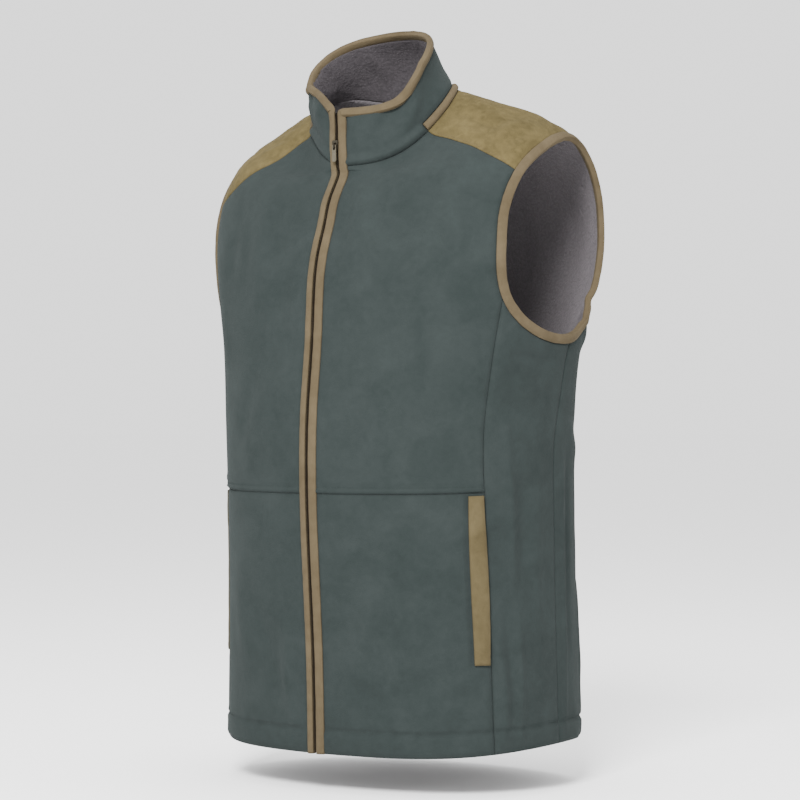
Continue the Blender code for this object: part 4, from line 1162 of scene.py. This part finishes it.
def edge_binding(made):
    """One tape up the front, round the collar's corners and along its top, folded over the edge."""
    top = COLLAR_TOP + BINDING_RISE
    foot = top - BINDING_CORNER
    rows = np.concatenate([np.arange(0.0, foot, BINDING_STEP), [foot]])
    edge = pairs(angle_at(TAPE_INNER, rows), rows)
    turns = np.radians(np.linspace(0, 90, 10))[1:-1]
    corner_x = TAPE_INNER + BINDING_CORNER * (1 - np.cos(turns))
    corner_station = foot + BINDING_CORNER * np.sin(turns)
    corner = pairs([float(angle_at(x, np.array([s]))[0]) for x, s in zip(corner_x, corner_station)],
                   corner_station)
    start = float(angle_at(TAPE_INNER + BINDING_CORNER, np.array([top]))[0])
    across = spaced(pairs(np.linspace(start, 180, 300), top), even(84))
    half_path = np.concatenate([edge, corner, across])
    path = np.concatenate([half_path, (half_path * np.array([-1.0, 1.0]))[::-1][1:]])
    points, normals, sideways = strip_frames(path)
    for run in (slice(0, len(edge) - 2), slice(len(path) - len(edge) + 2, len(path))):
        points[run] = evened(points[run], BINDING_EVENED)
        normals[run] = unit(evened(normals[run], BINDING_EVENED))
        sideways[run] = unit(evened(sideways[run], BINDING_EVENED))
    middle = len(path) // 2
    if np.dot(sideways[middle], np.array([0, 0, 1.0])) > 0:
        sideways = -sideways
    profile = binding_profile((TAPE_OUTER - TAPE_INNER) * 1000, -LINING_BACK * 1000 + 0.4, rise=1.6)
    turn = np.clip((np.arange(len(path)) - middle) / 60, 0, 1)
    scales = BINDING_NARROW[0] - BINDING_NARROW[1] * turn
    rings = [section_ring(p, s, n, profile, k) for p, s, n, k in zip(points, sideways, normals, scales)]
    made["edge_binding"] = tube("edge_binding_cloth", puckered(rings, 2.0), TAPE, "suede_cloth")


def welts(made):
    """Padded pocket welts: the free edge bows out, the ends are folded in."""
    foot = WELT_CORNERS["foot"]
    top = WELT_CORNERS["top"]
    rows = foot + (top - foot) * even(60)
    bow = np.sin(np.pi * np.clip((top - rows) / (top - WELT_BOW_FOOT), 0, 1))
    outer_edge = WELT_CORNERS["outer"] + WELT_CORNERS["bow"] * (bow - 0.45)
    share = even(12)[None, :]
    for label, (shift, height) in WELT_FITS.items():
        inner_side = WELT_CORNERS["inner"] - WELT_LAP + shift
        angles = inner_side * (1 - share) + (outer_edge[:, None] + WELT_LAP + shift) * share
        grid = pairs(angles, rows[:, None])

        def padded(points, charts, distance):
            along = (charts[:, 1] - foot) / (top - foot)
            crown = 0.0022 * (1 - np.exp(-(distance / 0.0026) ** 2))
            fold = -ridge(along, *WELT_FOLD)
            free = 0.0012 * np.clip((np.abs(charts[:, 0]) - 55.5) / 4, 0, 1)
            free = free * np.sin(np.pi * np.clip(along, 0, 1))
            return (crown + fold + free) * height + 0.0004 * noise(points, 90)

        add_cloth(made, "pocket_welt_" + label, [turned(label, grid)], WELT_SUEDE, "suede_cloth",
                  outer=-0.0018 * height, inner=0.0004, relief=padded, fall=0.0)


def zips(made):
    """Woven tapes and their teeth, meshed below the slider."""
    stations = np.arange(0.0022, COLLAR_EDGE - 0.003, TOOTH_PITCH)
    rows = np.arange(0.0008, COLLAR_EDGE - 0.0015, 0.004)
    for label, side in SIDES.items():
        rings = np.stack([cloth_points(pairs(side * angle_at(x, rows), rows), depth)
                          for x, depth in ZIP_PROFILE], axis=1)
        made["zip_" + label] = tube("zip_" + label + "_tape", rings, ZIP_CLOTH, "zip_tape")
        points = []
        faces = []
        for station in stations:
            place = station + (TOOTH_PITCH / 2 if side > 0 else 0.0)
            apart = 0.0 if place < SLIDER_STATION else min((place - SLIDER_STATION) * 0.05, TEETH_OPEN)
            inner = apart - TOOTH_INNER
            outer = apart + TOOTH_OUTER
            low, high = TOOTH_HALVES
            faces += [tuple(len(points) + i for i in face) for face in TOOTH_FACES]
            for depth in TOOTH_DEPTHS:
                for x, shift in ((inner, -low), (outer, -high), (outer, high), (inner, low)):
                    points.append((x, place + shift, depth))
        points = np.array(points)
        chart = pairs(side * angle_at(points[:, 0], points[:, 1]), points[:, 1])
        teeth = new_mesh("zip_" + label + "_teeth", cloth_points(chart, points[:, 2]), faces, TEETH,
                         slot="zip_tape")
        teeth.data.polygons.foreach_set("use_smooth", [False] * len(teeth.data.polygons))
        if side > 0:
            teeth.data.flip_normals()
        made["teeth_" + label] = teeth


# ---------------------------------------------------------------- stitches
def stitch_rows(name, lines, cloth, thread):
    """Short stitches laid on a cloth piece along chart lines, each a small rounded bar."""
    material, slot = THREADS[thread]
    tree = BVHTree.FromObject(cloth, bpy.context.evaluated_depsgraph_get())
    points = []
    faces = []
    ring = np.array([[math.cos(a), math.sin(a)] for a in np.radians(np.arange(0, 360, 60))])
    for line in lines:
        along = lengths(bare(line))
        count = int(along[-1] / (STITCH_LENGTH + STITCH_GAP))
        for middle in (np.arange(count) + 0.5) * (along[-1] / count):
            ends = np.array([middle - STITCH_LENGTH / 2, middle, middle + STITCH_LENGTH / 2])
            chart = np.stack([np.interp(ends, along, line[:, k]) for k in range(2)], axis=-1)
            normals = outward(chart[:, 0], chart[:, 1])
            hits = [tree.ray_cast(tuple(point + normal * 0.009), tuple(-normal), 0.02)[0]
                    for point, normal in zip(bare(chart), normals)]
            if any(hit is None for hit in hits):
                continue
            spots = [np.array(hit) for hit in hits]
            ahead = unit(spots[2] - spots[0])
            start = len(points)
            for spot, normal, (size, rise) in zip(spots, normals, STITCH_SHAPE):
                beside = np.cross(normal, ahead)
                for a, b in ring:
                    rim = size * STITCH_THICK * (beside * a + normal * b)
                    points.append(spot + normal * (rise + STITCH_LIFT) + rim)
            faces += grid_quads(3, 6, start, False, True)
            faces.append(tuple(start + k for k in range(6))[::-1])
            faces.append(tuple(start + 12 + k for k in range(6)))
    return new_mesh(name, points, faces, material, slot=slot)


def level_line(first, last, station):
    """A chart line round the garment between two angles, with a point at each degree."""
    return pairs(np.linspace(first, last, int(abs(last - first)) + 1), station)


def beside_line(line, offset):
    """A chart line moved sideways on the surface, to the left of its direction as seen from outside."""
    line = smooth_line(line, 80)
    points = bare(line)
    along = unit(np.gradient(points, axis=0))
    moved = points + np.cross(outward(line[:, 0], line[:, 1]), along) * offset
    chart = line.copy()
    for _ in range(4):
        now = bare(chart)
        by_angle = (bare(chart + (0.05, 0)) - now) / 0.05
        by_station = (bare(chart + (0, 1e-4)) - now) / 1e-4
        miss = moved - now
        aa = (by_angle ** 2).sum(-1)
        bb = (by_station ** 2).sum(-1)
        ab = (by_angle * by_station).sum(-1)
        ma = (miss * by_angle).sum(-1)
        mb = (miss * by_station).sum(-1)
        det = aa * bb - ab * ab
        chart = chart + np.stack([(ma * bb - mb * ab) / det, (mb * aa - ma * ab) / det], axis=-1)
    return chart


def stitching(made):
    """Top stitches of the hem, the waist seams and the yokes."""
    threads = {}

    def sew(node_name, name, lines, thread="green"):
        threads[node_name] = stitch_rows(name, lines, made[node_name], thread)

    for label, side in SIDES.items():
        hem = level_line(side * 5.2, side * 59.8, HEM_TURN)
        waist = level_line(side * 5.0, side * 59.4, WAIST + WAIST_STITCH)
        panel = level_line(side * 61.0, side * 92.0, HEM_TURN)
        flip = np.array([side, 1.0])
        yoke = [beside_line(np.array(line) * flip, offset * side)[4:-10]
                for line, offset in ((YOKE_FRONT[label], YOKE_STITCH), (YOKE_BACK, -YOKE_STITCH))]
        sew("front_lower_" + label, "hem_stitches_front_" + label, [hem])
        sew("front_upper_" + label, "waist_stitches_" + label, [waist])
        sew("side_panel_" + label, "hem_stitches_side_" + label, [panel])
        sew("yoke_" + label, "yoke_stitches_" + label, yoke, "tan")
    sew("back", "hem_stitches_back", [level_line(93.2, 266.8, HEM_TURN)])
    return threads


# ---------------------------------------------------------------- hiding the solids
def declare(made):
    """Every cloth piece stands for its solid, which is hidden; the edge binding stands for three tapes."""
    for name, piece in made.items():
        if name.startswith("teeth"):
            continue
        kind = name.replace("_left", "").replace("_right", "")
        if kind == "edge_binding":
            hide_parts("front_edge_tape_left", "front_edge_tape_right", "collar_edge_tape")
        else:
            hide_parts(name)


# ---------------------------------------------------------------- build
made = {}
for build in (body_pieces, rolls, linings, arm_tapes, edge_binding, welts, zips):
    build(made)
threads = stitching(made)
declare(made)
for name, metal_look in (("slider", SLIDER_METAL), ("pull_tab", PULL_METAL)):
    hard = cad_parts[name]
    hard.data.materials.clear()
    hard.data.materials.append(metal_look)


# ---------------------------------------------------------------- stage
def add_object(name, data):
    """A new object in the scene."""
    made_object = bpy.data.objects.new(name, data)
    bpy.context.scene.collection.objects.link(made_object)
    return made_object


def stage_floor():
    """A plain pale floor under the garment."""
    mesh = bpy.data.meshes.new("floor")
    ring = np.radians(np.arange(0, 360, 5))
    points = [(FLOOR_RADIUS * math.cos(a), FLOOR_RADIUS * math.sin(a), FLOOR_LEVEL) for a in ring]
    mesh.from_pydata(points, [], [tuple(range(len(points)))])
    material, _, shader = principled("floor_white")
    shader.inputs["Base Color"].default_value = FLOOR_COLOUR
    shader.inputs["Roughness"].default_value = 1.0
    shader.inputs["Specular IOR Level"].default_value = 0.0
    mesh.materials.append(material)
    add_object("floor", mesh)


def area_light(name, place, side, power):
    """A square soft light that looks at the garment's middle."""
    data = bpy.data.lights.new(name, "AREA")
    data.size = side
    data.energy = power
    lamp = add_object(name, data)
    look = unit(np.array(STUDIO_MIDDLE, float) - np.array(place, float))
    lamp.rotation_euler = Vector(look).to_track_quat("-Z", "Y").to_euler()
    lamp.location = place


def lighting():
    """Even light from all round, and two soft lamps."""
    world = bpy.data.worlds.new("studio")
    bpy.context.scene.world = world
    world.use_nodes = True
    back = world.node_tree.nodes["Background"]
    back.inputs["Color"].default_value = (1.0, 1.0, 1.0, 1)
    back.inputs["Strength"].default_value = WORLD_STRENGTH
    for lamp in LAMPS:
        area_light(*lamp)


def camera():
    """A level camera at the photograph's viewing angle."""
    turn = math.radians(CAMERA_TURN)
    data = bpy.data.cameras.new("camera")
    data.sensor_width = 36
    data.lens = CAMERA_LENS
    data.shift_x = CAMERA_SHIFT
    data.clip_start = 0.05
    eye = add_object("camera", data)
    eye.location = (CAMERA_AWAY * math.sin(turn), -CAMERA_AWAY * math.cos(turn), CAMERA_LEVEL)
    eye.rotation_euler = (math.radians(90), 0, turn)
    bpy.context.scene.camera = eye


stage_floor()
lighting()
camera()
